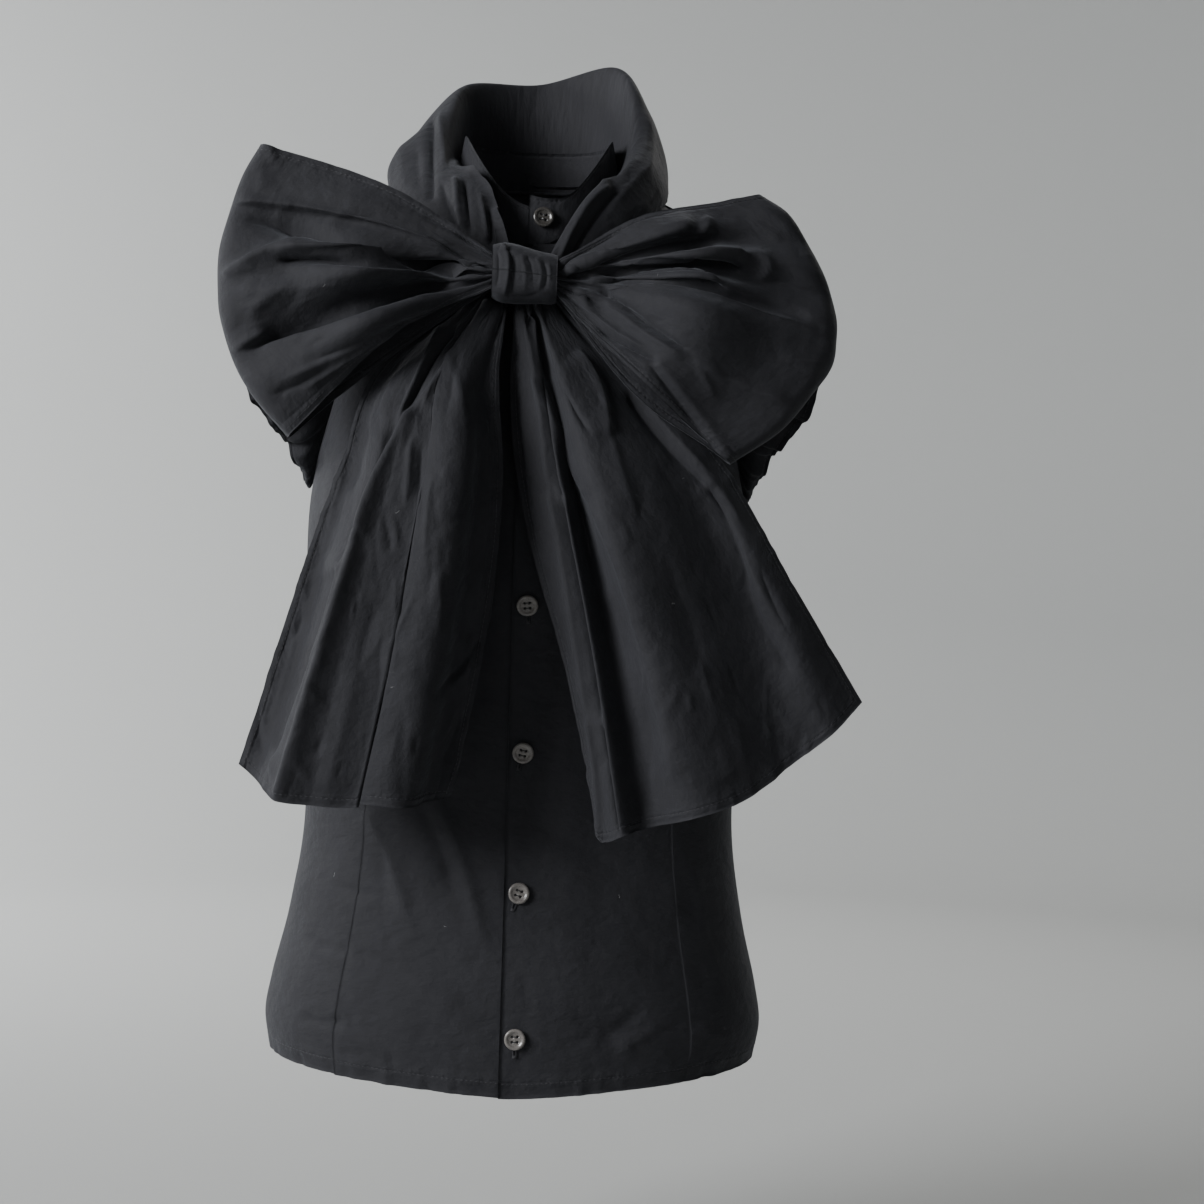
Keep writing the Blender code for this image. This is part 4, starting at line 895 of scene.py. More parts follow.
def gathers(grid, way, count, height, reach, seed):
    """Pleats that spread from the pinched start of the tie and run out along it."""
    chance = np.random.default_rng(seed)
    u = np.linspace(0.0, 1.0, grid.shape[0])
    v = np.linspace(0.0, 1.0, grid.shape[1])
    uneven = (u + 0.035 * np.sin(2 * math.pi * (u * 1.7 + chance.uniform()))
              + 0.02 * np.sin(2 * math.pi * (u * 3.1 + chance.uniform())))
    wave = np.cos(2 * math.pi * count * uneven)
    wave = np.sign(wave) * np.abs(wave) ** 0.8
    long = reach * (1.0 + 0.35 * np.sin(2 * math.pi * (u * 2.3 + chance.uniform())))
    strength = np.exp(-(v[None, :] / long[:, None]) ** 1.6) * ease(v / 0.02)[None, :]
    return raised(grid, way * height * wave[:, None] * strength)


def turned(grid, edge):
    """The grid with the named edge as its first row."""
    if edge in ("v0", "v1"):
        grid = np.swapaxes(grid, 0, 1)
    return grid[::-1] if edge in ("u1", "v1") else grid


def turned_back(face, edge):
    """The grid again, from the one that has the named edge as its first row."""
    if edge in ("u1", "v1"):
        face = face[::-1]
    return np.swapaxes(face, 0, 1) if edge in ("v0", "v1") else face


def way_in(face):
    """Distance of each point from the first row, along its column."""
    return np.cumsum(np.linalg.norm(np.diff(face, axis=0, prepend=face[:1]), axis=2), axis=0)


def puckers(grid, edge, seed, size, way=1.0):
    """Small uneven waves along a stitched edge; size is their spacing, height and depth."""
    chance = np.random.default_rng(seed)
    spacing, height, depth = size
    face = turned(grid, edge)
    along = np.cumsum(np.linalg.norm(np.diff(face[0], axis=0, prepend=face[:1, 0]), axis=1))
    wave = np.zeros(len(along))
    place = chance.uniform(0.0, spacing)
    while place < along[-1]:
        wide = spacing * chance.uniform(0.18, 0.42)
        wave += chance.normal(0.0, 1.0) * np.exp(-((along - place) / wide) ** 2)
        place += spacing * chance.uniform(0.4, 1.4)
    lift = way * height * wave[None, :] * np.exp(-(way_in(face) / depth) ** 2)
    return turned_back(face + turned(normals(grid), edge) * lift[:, :, None], edge)


def allowance(grid, edge, way, depth=ALLOWANCE_DEPTH):
    """Adds a seam allowance beyond an edge, which is turned to the inside of the garment."""
    face = turned(grid, edge)
    run = face[:1] - face[1:2]
    run = run / np.linalg.norm(run, axis=2, keepdims=True)
    inside = turned(normals(grid), edge)[:1] * -way
    return turned_back(np.concatenate([face[:1] + run * ALLOWANCE + inside * depth, face]), edge)


def new_object(name, points, faces):
    """Object with a mesh of its own; its points are in metres."""
    mesh = bpy.data.meshes.new(name)
    mesh.from_pydata(points, [], faces)
    made = bpy.data.objects.new(name, mesh)
    bpy.context.scene.collection.objects.link(made)
    return made


def add_mesh(name, points, faces, look):
    """A smooth piece that rides on the garment; its points are in millimetres."""
    made = new_object(name, (np.asarray(points) * MM).tolist(), faces)
    for face in made.data.polygons:
        face.use_smooth = True
    made.data.materials.append(look)
    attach(made, "root")
    return made


def add_cloth(name, grid, wall, look, wrap=False):
    """Thin closed shell on a grid. Its UVs are the flat cloth and the way to its edges."""
    offset = normals(grid, wrap) * (wall / 2)
    rows, columns = grid.shape[:2]
    count = rows * columns
    points = np.concatenate([(grid + offset).reshape(-1, 3), (grid - offset).reshape(-1, 3)])
    index = np.arange(count).reshape(rows, columns)
    top = np.roll(index, -1, axis=0) if wrap else index[1:]
    base = index if wrap else index[:-1]
    quads = np.stack([base[:, :-1], top[:, :-1], top[:, 1:], base[:, 1:]], axis=-1).reshape(-1, 4)
    faces = [quads, quads[:, ::-1] + count]
    for edge in ([] if wrap else [index[0], index[-1][::-1]]) + [index[:, 0][::-1], index[:, -1]]:
        after = np.roll(edge, -1) if wrap else edge[1:]
        before = edge if wrap else edge[:-1]
        faces.append(np.stack([after, before, before + count, after + count], axis=-1))
    made = add_mesh(name, points, np.concatenate(faces).tolist(), look)
    mesh = made.data
    # lengths are taken as even over the whole cloth; a ring has no edge along its turn
    step_u = np.linalg.norm(np.diff(grid, axis=0), axis=2).mean(axis=1)
    step_v = np.linalg.norm(np.diff(grid, axis=1), axis=2).mean(axis=0)
    length_u = np.concatenate([[0], np.cumsum(step_u)])
    length_v = np.concatenate([[0], np.cumsum(step_v)])
    near_u = length_u * 0 + FAR if wrap else np.minimum(length_u, length_u[-1] - length_u)
    near_v = np.minimum(length_v, length_v[-1] - length_v)
    corner = np.zeros(len(mesh.loops), np.int32)
    mesh.loops.foreach_get("vertex_index", corner)
    for layer_name, u, v in (("cloth", length_u, length_v), ("edge", near_u, near_v)):
        flat = np.stack(np.meshgrid(u, v, indexing="ij"), axis=-1).reshape(-1, 2)
        layer = mesh.uv_layers.new(name=layer_name)
        layer.data.foreach_set("uv", (np.concatenate([flat, flat])[corner] * UV_PER_MM).ravel())
    return made


def ring(middle, side, up, radius, steps):
    """Points of a circle."""
    turns = [2 * math.pi * step / steps for step in range(steps)]
    return [middle + radius * (side * math.cos(turn) + up * math.sin(turn)) for turn in turns]


def skin(faces, first, rings, steps, flip=False):
    """Adds the faces between rings of points that follow each other."""
    for low in range(first, first + (rings - 1) * steps, steps):
        for step in range(steps):
            after = (step + 1) % steps
            face = (low + step, low + after, low + steps + after, low + steps + step)
            faces.append(face[::-1] if flip else face)


def fan(faces, tip, low, steps, flip=False):
    """Adds the faces between a tip and a ring of points."""
    for step in range(steps):
        face = (tip, low + (step + 1) % steps, low + step)
        faces.append(face[::-1] if flip else face)


def inset_line(grid, edge, distance, wrap=False):
    """Points and normals that run at a distance inside an edge of the grid."""
    face = turned(grid, edge)
    inward = way_in(face)
    row = np.argmax(inward > distance, axis=0)
    column = np.arange(face.shape[1])
    a, b = inward[row - 1, column], inward[row, column]
    share = ((distance - a) / np.maximum(b - a, 1e-6))[:, None]
    line = face[row - 1, column] * (1 - share) + face[row, column] * share
    facing = turned(normals(grid, wrap), edge)[row, column]
    if wrap:
        line = np.concatenate([line, line[:1]])
        facing = np.concatenate([facing, facing[:1]])
    return line, facing


def stitch(points, faces, spots, side, up, wall):
    """One stitch that lies on the cloth and goes down into it at both ends."""
    first = len(points)
    for (place, wide, high), spot in zip(STITCH_PROFILE, spots):
        middle = spot + up * (wall / 2 + THREAD * high)
        if wide:
            points.extend(ring(middle, side, up, THREAD * wide, STITCH_SIDES))
        else:
            points.append(middle)
    rings = len(STITCH_PROFILE) - 2
    fan(faces, first, first + 1, STITCH_SIDES)
    skin(faces, first + 1, rings, STITCH_SIDES)
    fan(faces, len(points) - 1, first + 1 + (rings - 1) * STITCH_SIDES, STITCH_SIDES, flip=True)


def stitches(name, runs, both, wall):
    """One mesh of stitches along the runs of points and normals; both adds the under side."""
    points, faces = [], []
    for line, normal in runs:
        along = np.concatenate([[0], np.cumsum(np.linalg.norm(np.diff(line, axis=0), axis=1))])
        for centre in np.arange(STITCH_STEP, along[-1] - STITCH_STEP, STITCH_STEP):
            spots = [np.array([np.interp(centre + place * STITCH, along, line[:, k]) for k in range(3)])
                     for place, wide, high in STITCH_PROFILE]
            facing = unit(np.array([np.interp(centre, along, normal[:, k]) for k in range(3)]))
            side = np.cross(facing, unit(spots[-1] - spots[0]))
            for way in ((1.0, -1.0) if both else (1.0,)):
                stitch(points, faces, spots, side, facing * way, wall)
    return add_mesh(name, points, faces, thread_look)


def tube(points, faces, line, radius, steps=6):
    """Adds a thread through the points of a line."""
    line = np.asarray(line, float)
    first = len(points)
    for k, spot in enumerate(line):
        run = unit(line[min(k + 1, len(line) - 1)] - line[max(k - 1, 0)])
        side = unit(np.cross(run, (0.3, 0.2, 0.9)))
        points.extend(ring(spot, side, np.cross(run, side), radius, steps))
    skin(faces, first, len(line), steps)
    last = first + (len(line) - 1) * steps
    faces.append(tuple(range(first, first + steps))[::-1])
    faces.append(tuple(range(last, last + steps)))


class Nodes:
    """Short hand for the node tree of a look."""

    def __init__(self, name):
        self.look = bpy.data.materials.new(name)
        self.look.use_nodes = True
        self.tree = self.look.node_tree
        self.shader = self.tree.nodes["Principled BSDF"]

    def join(self, source, socket):
        """Links an output to the socket, or sets a number or a colour on it."""
        if hasattr(source, "is_linked"):
            self.tree.links.new(source, socket)
        elif isinstance(source, tuple):
            socket.default_value = (*source, 1.0)
        else:
            socket.default_value = source

    def set(self, **sockets):
        """Fills sockets of the shader; an underscore stands for a space."""
        for name, source in sockets.items():
            self.join(source, self.shader.inputs[name.replace("_", " ")])

    def work(self, operation, a, b=0.0):
        node = self.tree.nodes.new("ShaderNodeMath")
        node.operation = operation
        self.join(a, node.inputs[0])
        self.join(b, node.inputs[1])
        return node.outputs[0]

    def times(self, a, b):
        return self.work("MULTIPLY", a, b)

    def plus(self, a, b):
        return self.work("ADD", a, b)

    def less(self, a, b):
        return self.work("SUBTRACT", a, b)

    def bell(self, away, sharpness):
        """1 at a line and falling off on both sides of it."""
        return self.work("EXPONENT", self.times(self.times(away, away), -sharpness))

    def split(self, output):
        node = self.tree.nodes.new("ShaderNodeSeparateXYZ")
        self.tree.links.new(output, node.inputs[0])
        return node.outputs

    def uv(self, name):
        """Millimetres along both directions of the cloth."""
        node = self.tree.nodes.new("ShaderNodeUVMap")
        node.uv_map = name
        u, v, empty = self.split(node.outputs[0])
        return self.times(u, 1.0 / UV_PER_MM), self.times(v, 1.0 / UV_PER_MM)

    def noise(self, x, y, scale_x, scale_y, detail, z):
        spot = self.tree.nodes.new("ShaderNodeCombineXYZ")
        self.join(self.times(x, scale_x), spot.inputs[0])
        self.join(self.times(y, scale_y), spot.inputs[1])
        spot.inputs[2].default_value = z
        node = self.tree.nodes.new("ShaderNodeTexNoise")
        node.inputs["Scale"].default_value = 1.0
        node.inputs["Detail"].default_value = detail
        self.tree.links.new(spot.outputs[0], node.inputs["Vector"])
        return node.outputs[0]

    def mix(self, share, a, b):
        node = self.tree.nodes.new("ShaderNodeMix")
        node.data_type = "RGBA"
        self.join(share, node.inputs[0])
        self.join(a, node.inputs[6])
        self.join(b, node.inputs[7])
        return node.outputs[2]

    def bump(self, height, distance_mm, below=None):
        node = self.tree.nodes.new("ShaderNodeBump")
        node.inputs["Strength"].default_value = 1.0
        node.inputs["Distance"].default_value = distance_mm * MM
        self.join(height, node.inputs["Height"])
        if below is not None:
            self.tree.links.new(below, node.inputs["Normal"])
        return node.outputs[0]


def poplin_look(name, seed, stitch_u=None, stitch_v=None):
    """Black cotton poplin: fine ribs, slubs, a crushed face and the stitched edges."""
    n = Nodes(name)
    u, v = n.uv("cloth")
    # plain weave of fine threads, closer across than along
    weave = n.times(n.work("SINE", n.times(u, 2 * math.pi / THREAD_STEP_U)),
                    n.work("SINE", n.times(v, 2 * math.pi / THREAD_STEP_V)))
    slubs = n.plus(n.noise(u, v, 1.9, 0.16, 2.0, seed), n.noise(u, v, 0.16, 1.9, 2.0, seed + 7.0))
    grain = n.noise(u, v, 1.4, 1.4, 3.0, seed + 3.0)
    cloud = n.noise(u, v, 0.035, 0.035, 3.0, seed + 5.0)
    crush = n.noise(u, v, 0.16, 0.11, 3.0, seed + 9.0)
    ripple = n.noise(u, v, 0.30, 0.30, 1.0, seed + 2.0)
    tone = n.plus(n.plus(n.times(cloud, 0.45), n.times(grain, 0.30)), n.times(slubs, 0.14))
    normal = n.bump(n.plus(n.times(weave, 0.5), n.times(slubs, 1.6)), 0.055)
    normal = n.bump(crush, 1.1, normal)
    for way, distance in zip(n.uv("edge"), (stitch_u, stitch_v)):
        if distance is None:
            continue
        # the turned edge is thicker, and the stitches draw in a narrow groove beside it
        away = n.less(way, distance)
        double = n.work("DIVIDE", 1.0, n.plus(1.0, n.work("EXPONENT", n.times(away, 5.0))))
        height = n.less(n.times(double, 0.30), n.times(n.bell(away, 1.6), 0.26))
        height = n.plus(height, n.times(n.times(ripple, n.bell(away, 0.07)), 0.7))
        normal = n.bump(height, 1.0, normal)
    n.set(Base_Color=n.mix(tone, BLACK_DEEP, BLACK_WORN), Roughness=n.plus(0.70, n.times(grain, 0.16)),
          Normal=normal, Specular_IOR_Level=0.22, Sheen_Weight=0.10, Sheen_Roughness=0.40,
          Sheen_Tint=(0.86, 0.90, 1.0))
    return n.look


def shell_look(name, deep, pale):
    """Smoke grey shell-like resin with cloudy bands and a polished face."""
    n = Nodes(name)
    place = n.tree.nodes.new("ShaderNodeTexCoord")
    x, y, z = n.split(place.outputs["Object"])
    bands = n.noise(x, z, 190.0, 420.0, 3.0, 4.0)
    fine = n.noise(x, z, 950.0, 2100.0, 2.0, 8.0)
    tone = n.plus(n.times(bands, 0.8), n.times(fine, 0.2))
    n.set(Base_Color=n.mix(tone, deep, pale), Roughness=n.plus(0.20, n.times(fine, 0.16)),
          Normal=n.bump(bands, 0.05), Specular_IOR_Level=0.6, Coat_Weight=0.35, Coat_Roughness=0.12)
    return n.look


def plain(name, colour, roughness):
    n = Nodes(name)
    n.set(Base_Color=colour, Roughness=roughness)
    return n.look


tie_look = poplin_look("tie_poplin", 1.0, TIE_EDGE)
tail_look = poplin_look("tail_poplin", 2.0, TIE_EDGE, TIE_HEM)
body_look = poplin_look("body_poplin", 3.0, BODY_HEM)
band_look = poplin_look("band_poplin", 4.0, None, BAND_GROOVE)
sleeve_look = poplin_look("sleeve_poplin", 5.0, None, SLEEVE_STITCH)
knot_look = poplin_look("knot_poplin", 6.0)
thread_look = plain("black_thread", (0.020, 0.020, 0.024), 0.55)
smoke_shell = shell_look("smoke_shell", (0.045, 0.040, 0.038), (0.26, 0.24, 0.225))
# a darker copy of the same smoke grey shell: painted shade for the first button, which is the same
# resin as the rest
painted_shade_shell = shell_look("painted_shade_shell", (0.014, 0.013, 0.012), (0.085, 0.078, 0.072))
lint = plain("pale_lint", (0.45, 0.45, 0.46), 0.9)

# seed, count, box in the view, length, width, height, lean in degrees
BOW_FINE = small_creases(11, 110, (225, 150, 470, 410), 60, 3.2, 0.45, 158)
BOW_FINE += small_creases(12, 110, (580, 200, 820, 440), 60, 3.2, 0.40, 25)
TAIL_FINE = small_creases(13, 170, (250, 380, 500, 790), 46, 3.2, 0.55, 100)
TAIL_FINE += small_creases(14, 170, (540, 380, 850, 820), 46, 3.2, 0.42, 72)
BODY_FINE = small_creases(15, 160, (280, 500, 750, 1080), 40, 4.0, 0.32, 80)
BODY_FINE += small_creases(16, 60, (280, 1000, 750, 1090), 34, 3.5, 0.45, 10)
BACK_FINE = small_creases(18, 150, (290, 300, 750, 1080), 50, 4.5, 0.40, 60)
COLLAR_FINE = small_creases(17, 60, (395, 70, 660, 250), 34, 3.0, 0.35, 100)

shown = {}               # pieces that fluff lies on: grid and the way its normals look out


def sheet(name, grid, look, runs, wrap=False):
    """One cut piece with the stitches that lie on it; the tie is stitched through to its back."""
    tie = look in (tie_look, tail_look, knot_look)
    wall = TIE_SHEET if tie else SHEET
    made = add_cloth("cloth_" + name, grid, wall, look, wrap)
    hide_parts(name)
    with_pieces = [stitches("stitches_" + name, runs, tie, wall)] if runs else []


def outward(grid, rows=slice(None), columns=slice(None)):
    """1 where the normals of a grid look to the front, or -1."""
    return -np.sign(normals(grid)[rows, columns, 1].mean())


def facing_out(run, middle=0.0, axes=(1.0, 1.0, 0.0)):
    """The run with its normals away from the middle, as seen along the given axes."""
    line, normal = run
    return line, normal * np.sign((normal * (line - middle) * np.array(axes)).sum())


def body_hem(grid):
    return [facing_out(inset_line(grid, "u0", BODY_HEM))]


def front_pieces():
    """Fronts; the rows of their grids run up from the hem, columns from centre to side."""
    for name, first, last, lift, reach, flip, seed, flat, area in FRONT_PIECES:
        side_piece = last == 1.0
        grid = front_panel(first, last, 50, 190, lift=lift, reach=reach)
        grid = inset(grid, end=SHOULDER_GAP, left=HALF_GAP if side_piece else 0.0,
                     right=ARMHOLE_GAP if side_piece else HALF_GAP)
        if flip:
            grid = mirrored(grid)
        way = outward(grid)
        # the cloth is calm at the side seams and behind the bow
        side = 1.0 - ease((np.abs(grid[:, :, 0]) - FRONT_CALM_X[0]) / FRONT_CALM_X[1])
        low = ease((FRONT_CALM_Z[0] - grid[:, :, 2]) / FRONT_CALM_Z[1])
        grid = raise_creases(grid, BODY_CREASES + BODY_FINE, way, side * low)
        grid = puckers(grid, "u0", seed, HEM_PUCKERS, way)
        runs = body_hem(grid)
        way = outward(grid)
        shown[name] = (grid, way)
        if side_piece:
            grid = allowance(grid, "v0", way)
            grid = allowance(grid, "v1", outward(grid))
        sheet(name, grid, body_look, runs)


def back_pieces():
    plain_back = inset(back_panel(60, 170), end=SHOULDER_GAP, left=HALF_GAP + 0.1, right=ARMHOLE_GAP)
    for name, grid, seed in (("back_left", plain_back, 25), ("back_right", mirrored(plain_back), 26)):
        way = -outward(grid)
        middle = ease((BACK_CALM_X[0] - np.abs(grid[:, :, 0])) / BACK_CALM_X[1])
        grid = raise_creases(grid, BACK_CREASES, way, middle * BACK_GAIN)
        grid = raise_creases(grid, BACK_FINE, way, middle)
        grid = puckers(grid, "u0", seed, HEM_PUCKERS)
        runs = body_hem(grid)
        if name == "back_left":
            grid = allowance(grid, "v0", way)
        grid = allowance(grid, "u1", way)
        sheet(name, grid, body_look, runs)


def neck_pieces():
    band = neckband(240, 16)
    line, normal = inset_line(band, "v1", BAND_STITCH)
    out = np.stack([line[:, 0], line[:, 1] - NECK_CENTRE_Y, 0 * line[:, 0]], axis=-1)
    way = np.sign((normal * out).sum(axis=1).mean())
    # its seam allowance goes down inside the body, so that no light comes through the seam
    foot = band[:, :1] + np.array([0.0, 0.0, -BAND_FOOT[0]]) - BAND_FOOT[1] * way * normals(band)[:, :1]
    sheet("neckband", np.concatenate([foot, band], axis=1), band_look,
          [(line, normal * way)])

    collar = tie_collar(230, 70)
    way = outward(collar, slice(20, 70))
    front_part = 1.0 - ease(collar[:, :, 1] / COLLAR_CALM_Y)
    collar = raise_creases(collar, COLLAR_CREASES + COLLAR_FINE, way, front_part)
    collar = puckers(collar, "v1", 31, COLLAR_PUCKERS)
    runs = [inset_line(collar, "v1", TIE_EDGE)]
    collar = allowance(collar, "v0", way, 0.0)
    sheet("tie_collar", collar, tie_look, runs)


def loop_pieces():
    """Loops; the rows of their grids run across the band, columns out, round and back."""
    for name, table, throat, rows, gain, seed in (
            ("loop_right", LOOP_RIGHT, THROAT_RIGHT, LOOP_RIGHT_CREASES, LOOP_RIGHT_GAIN, 41),
            ("loop_left", LOOP_LEFT, THROAT_LEFT, LOOP_LEFT_CREASES, LOOP_LEFT_GAIN, 42)):
        grid = loop(table, throat, 200, 130)
        # only the front layer is creased
        along = np.linspace(0.0, 1.0, grid.shape[1])[None, :]
        front = 1.0 - ease((along - LOOP_FRONT[0]) / LOOP_FRONT[1])
        way = outward(grid, slice(None), slice(20, 50))
        grid = gathers(grid, way, *LOOP_GATHERS, seed)
        grid = raise_creases(grid, rows, way, front * gain)
        grid = raise_creases(grid, BOW_FINE, way, front)
        grid = puckers(grid, "u0", seed, LOOP_PUCKERS)
        grid = puckers(grid, "u1", seed + 5, LOOP_PUCKERS)
        runs = [inset_line(grid, edge, TIE_EDGE) for edge in ("u0", "u1")]
        runs = [(line[6:-6], normal[6:-6]) for line, normal in runs]
        shown[name] = (grid, way)
        sheet(name, grid, tie_look, runs)


def tail_pieces():
    """Tails; the rows of their grids run across the band, columns down from the knot."""
    for name, table, rows, swells, seed, flat in (
            ("tail_right", TAIL_RIGHT, TAIL_RIGHT_CREASES, TAIL_RIGHT_SWELLS, 51, (0.17, 0.335)),
            ("tail_left", TAIL_LEFT, TAIL_LEFT_CREASES, (), 52, (0.17, 0.34))):
        grid = tail(table, 190, 150)
        way = outward(grid, slice(None), slice(40, None))
        for place, width, height in swells:
            grid = swell(grid, place, width, height, way, SWELL_START)
        grid = gathers(grid, way, *TAIL_GATHERS, seed)
        grid = raise_creases(grid, rows + TAIL_FINE, way)
        grid = puckers(grid, "u0", seed, TAIL_PUCKERS)
        grid = puckers(grid, "u1", seed + 3, TAIL_PUCKERS)
        grid = puckers(grid, "v1", seed + 6, TAIL_HEM_PUCKERS)
        runs = [inset_line(grid, edge, TIE_EDGE) for edge in ("u0", "u1")]
        runs = [(line[14:], normal[14:]) for line, normal in runs] + [inset_line(grid, "v1", TIE_HEM)]
        shown[name] = (grid, way)
        sheet(name, grid, tail_look, runs)


def knot_piece():
    grid = knot(160, 70)
    way = -np.sign(normals(grid, True)[:20, :, 1].mean())
    grid = raise_creases(grid, KNOT_CREASES, way, wrap=True)
    sheet("knot", grid, knot_look, [], wrap=True)


def cap_sleeve(seed, around=320, out=30):
    """The sleeve with its uneven gathers, which are fullest at the hem."""
    grid = sleeve(around, out)
    chance = np.random.default_rng(seed)
    turn = np.linspace(0.0, 2 * math.pi, around, endpoint=False)[:, None]
    share = np.linspace(0.0, 1.0, out)[None, :]
    wave = np.zeros((around, 1))
    for waves, height in SLEEVE_WAVES:
        wave = wave + height * np.sin(waves * turn + chance.uniform(0, 2 * math.pi))
    pinch = np.exp(-((share - 0.90) / 0.05) ** 2)
    radial = grid - grid.mean(axis=0, keepdims=True)
    radial[:, :, 0] = 0.0
    radial /= np.linalg.norm(radial, axis=2, keepdims=True)
    flat = wave * (share * (1.0 - share) * 2.2 + 0.9 * share ** 3 + 0.25 * ease(share / 0.1))
    return grid + radial * (flat - 0.9 * pinch)[:, :, None]


def sleeve_pieces():
    for name, rests_on, flip, seed in (("sleeve_left", "front_left_side", False, 61),
                                       ("sleeve_right", "front_right_side", True, 62)):
        grid = cap_sleeve(seed)
        run = inset_line(grid, "v1", SLEEVE_STITCH, wrap=True)
        run = facing_out(run, run[0].mean(axis=0), (1.0, 1.0, 1.0))
        if flip:
            grid = mirrored(grid)
            run = (mirrored(run[0]), mirrored(run[1]))
        sheet(name, grid, sleeve_look, [run], wrap=True)


def button_mesh():
    """Turned four-hole button: rolled rim and dished middle, about its own middle."""
    first, *rims, last = BUTTON_PROFILE
    across, up = np.eye(3)[:2]
    points = [(0.0, 0.0, first[1] * BUTTON_HEIGHT)]
    for radius, height in rims:
        middle = np.array([0.0, 0.0, height * BUTTON_HEIGHT])
        points.extend(ring(middle, across, up, radius * BUTTON_RADIUS, BUTTON_SIDES))
    points.append((0.0, 0.0, last[1] * BUTTON_HEIGHT))
    faces = []
    fan(faces, 0, 1, BUTTON_SIDES, flip=True)
    skin(faces, 1, len(rims), BUTTON_SIDES, flip=True)
    fan(faces, len(points) - 1, 1 + (len(rims) - 1) * BUTTON_SIDES, BUTTON_SIDES)
    uncut = new_object("button_blank", (np.array(points) * MM).tolist(), faces)
    cutters = []
    for side_x in (-1, 1):
        for side_y in (-1, 1):
            bpy.ops.mesh.primitive_cylinder_add(
                vertices=20, radius=BUTTON_HOLE_RADIUS * MM, depth=4 * BUTTON_HEIGHT * MM,
                location=(side_x * BUTTON_HOLE_SPREAD * MM, side_y * BUTTON_HOLE_SPREAD * MM, 0.0))
            cut = uncut.modifiers.new("hole", "BOOLEAN")
            cut.operation = "DIFFERENCE"
            cut.solver = "EXACT"
            cut.object = bpy.context.object
            cutters.append(cut.object)
    graph = bpy.context.evaluated_depsgraph_get()
    mesh = bpy.data.meshes.new_from_object(uncut.evaluated_get(graph))
    for helper in cutters + [uncut]:
        bpy.data.objects.remove(helper)
    # the rolled faces are smooth, the small walls of the holes are not
    for face in mesh.polygons:
        face.use_smooth = abs(face.normal.z) > 0.1 or face.area > 1e-7
    mesh.materials.clear()
    mesh.materials.append(smoke_shell)
    return mesh


def button_thread(buttonhole):
    """Thread in two parallel bars that go down through the holes, and the worked buttonhole."""
    points, faces = [], []
    spread = BUTTON_HOLE_SPREAD
    half_bar = ((spread, -0.7), (spread, 0.42), (spread * 0.6, 0.66))   # x, z
    for bar in (-1, 1):
        for twist in (-0.14, 0.14):
            y = bar * spread + twist
            line = ([(-x, y, z) for x, z in half_bar] + [(0.0, y, 0.70)]
                    + [(x, y, z) for x, z in half_bar[::-1]])
            tube(points, faces, line, 0.14)
    if not buttonhole:
        return points, faces
    # worked edges of the buttonhole, of uneven stitches, and the bar at its lower end
    for k in range(26):
        y = -10.6 + 0.5 * k
        wide = 1.35 + 0.15 * math.sin(2.1 * k)
        for way in (-1, 1):
            tube(points, faces, [(way * 0.42, y, -1.02), (way * 0.9, y + 0.05, -0.92),
                                 (way * wide, y + 0.1, -1.10)], 0.21, 5)
    for k in range(6):
        y = -11.3 + 0.26 * k
        tube(points, faces, [(-1.3, y, -1.08), (0.0, y + 0.03, -0.90), (1.3, y, -1.08)], 0.2, 5)
    return points, faces


def buttons(chance):
    """Each button turned by chance, on its place on the stand."""
    blank = button_mesh()
    for number, height in enumerate(BUTTON_HEIGHTS, start=1):
        place, facing = band_button_place() if number == 1 else button_place(height)
        facing = unit(facing)
        side = unit(np.cross((0.0, 0.0, 1.0), facing))
        spin = chance.uniform(-0.35, 0.35)
        side = side * math.cos(spin) + np.cross(facing, side) * math.sin(spin)
        axes = np.array([side, np.cross(facing, side), facing])
        centre = place + facing * (CLOTH / 2 + SEAM_GAP + 0.38 * BUTTON_HEIGHT)
        mesh = blank.copy()
        flat = np.zeros(len(mesh.vertices) * 3)
        mesh.vertices.foreach_get("co", flat)
        mesh.vertices.foreach_set("co", ((flat.reshape(-1, 3) / MM @ axes + centre) * MM).ravel())
        mesh.update()
        # the first button gets the darker copy of the shell: painted shade, not a different resin
        if number == 1:
            mesh.materials[0] = painted_shade_shell
        button = bpy.data.objects.new("shell_button_" + str(number), mesh)
        bpy.context.scene.collection.objects.link(button)
        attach(button, "root")
        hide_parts("button_" + str(number))
        points, faces = button_thread(buttonhole=number > 1)
        points = [np.asarray(point) @ axes + centre for point in points]
        add_mesh("button_thread_" + str(number), points, faces, thread_look)


def fluff(chance):
    """A few short pale fibres that lie on the cloth."""
    points, faces = [], []
    for name, u_share, v_share, length in FLUFF:
        grid, way = shown[name]
        row = round(u_share * (grid.shape[0] - 1))
        column = round(v_share * (grid.shape[1] - 1))
        away = normals(grid)[row, column] * way
        spot = grid[row, column] + away * TIE_SHEET / 2
        run = unit(np.cross(away, chance.normal(size=3)))
        bend = np.cross(away, run) * chance.uniform(-0.35, 0.35)
        line = [spot + away * (0.12 + 0.35 * math.sin(math.pi * s)) + run * length * (s - 0.5)
                + bend * length * math.sin(math.pi * s) for s in np.linspace(0.0, 1.0, 7)]
        tube(points, faces, line, 0.055, 5)
    add_mesh("fluff", points, faces, lint)


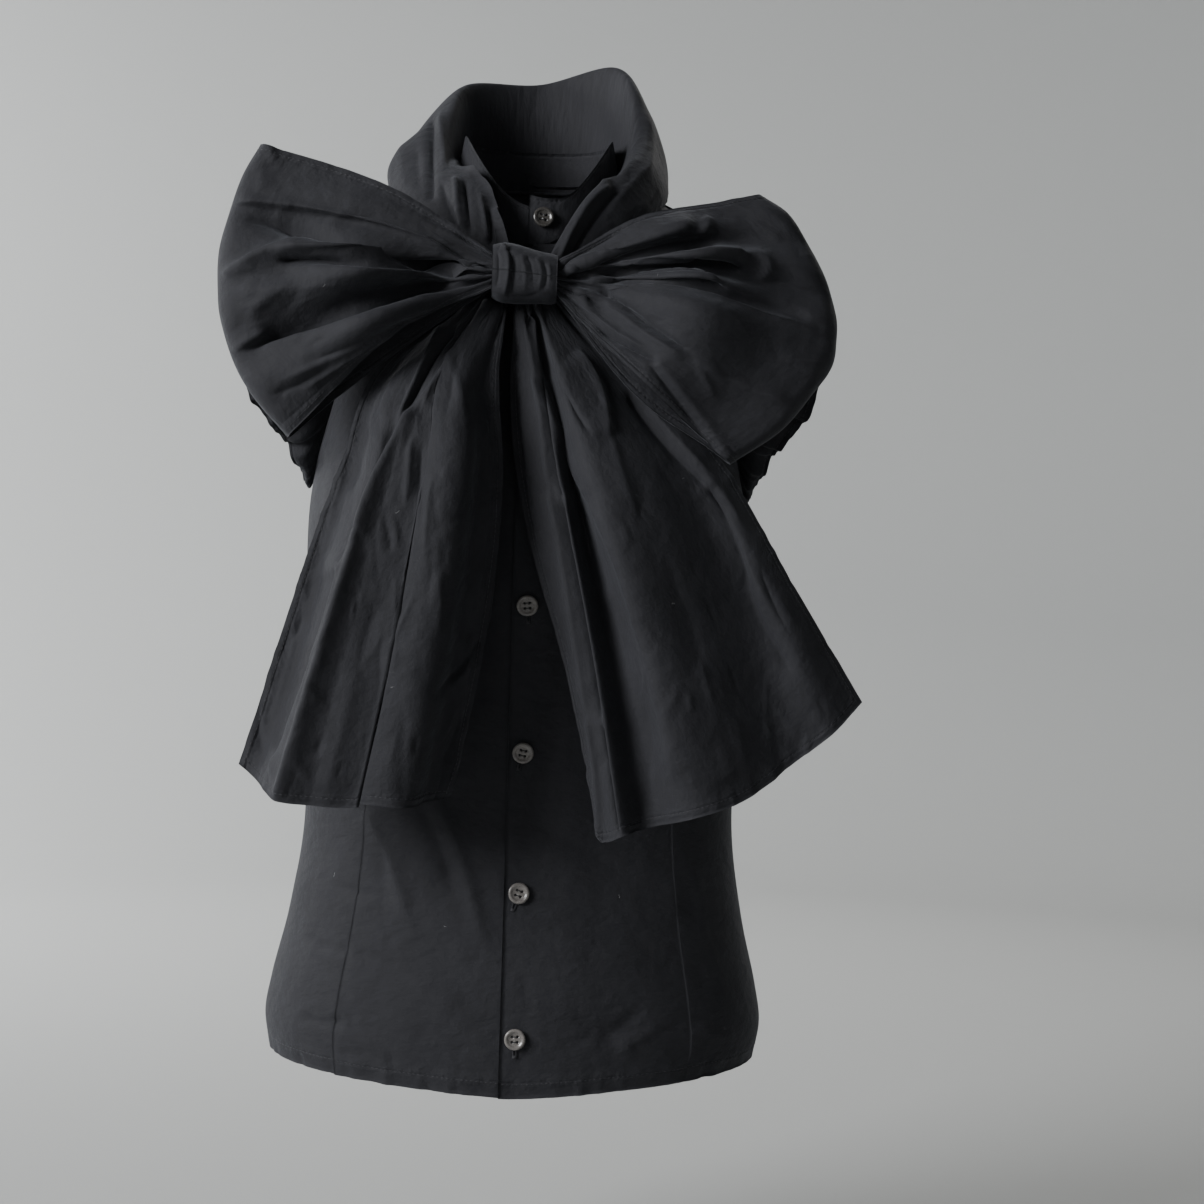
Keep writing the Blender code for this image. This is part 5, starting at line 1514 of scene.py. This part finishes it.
def studio_bowl():
    """Pale round floor that rises into a plain wall on every side."""
    flat_radius = BOWL_RADIUS - BOWL_BEND
    profile = [(0.001, FLOOR_Z), (flat_radius, FLOOR_Z)]
    for step in range(1, 13):
        turn = math.radians(90.0 * step / 12)
        profile.append((flat_radius + BOWL_BEND * math.sin(turn),
                        FLOOR_Z + BOWL_BEND - BOWL_BEND * math.cos(turn)))
    profile.append((BOWL_RADIUS, BOWL_TOP))
    across, back = np.eye(3)[:2]
    points = []
    for radius, z in profile:
        points.extend(ring(np.array([0.0, 0.0, z]), across, back, radius, BOWL_SIDES))
    faces = []
    skin(faces, 0, len(profile), BOWL_SIDES)
    made = new_object("studio", np.array(points).tolist(), faces)
    for face in made.data.polygons:
        face.use_smooth = True
    made.data.materials.append(plain("pale_wall", PALE_WALL, 0.9))


def area_light(name, place, target, size, power, colour):
    lamp = bpy.data.lights.new(name, "AREA")
    lamp.shape = "RECTANGLE"
    lamp.size, lamp.size_y = size
    lamp.energy = power
    lamp.color = colour
    made = bpy.data.objects.new(name, lamp)
    made.location = place
    made.rotation_euler = (Vector(target) - Vector(place)).to_track_quat("-Z", "Y").to_euler()
    made.visible_camera = False
    bpy.context.scene.collection.objects.link(made)


def room_light():
    """Weak even light of the room."""
    world = bpy.data.worlds.new("room")
    world.use_nodes = True
    background = world.node_tree.nodes["Background"]
    background.inputs["Color"].default_value = (*ROOM_COLOUR, 1.0)
    background.inputs["Strength"].default_value = ROOM_STRENGTH
    bpy.context.scene.world = world


def view():
    """Camera at the photograph's viewing angle."""
    lens = bpy.data.cameras.new("camera")
    lens.sensor_width = SENSOR
    lens.lens = LENS
    camera = bpy.data.objects.new("camera", lens)
    camera.matrix_world = view_matrix()
    bpy.context.scene.collection.objects.link(camera)
    bpy.context.scene.camera = camera


front_pieces()
back_pieces()
neck_pieces()
loop_pieces()
tail_pieces()
knot_piece()
sleeve_pieces()
spins_and_fluff = np.random.default_rng(71)
buttons(spins_and_fluff)
fluff(spins_and_fluff)
studio_bowl()
for light in LIGHTS:
    area_light(*light)
room_light()
view()
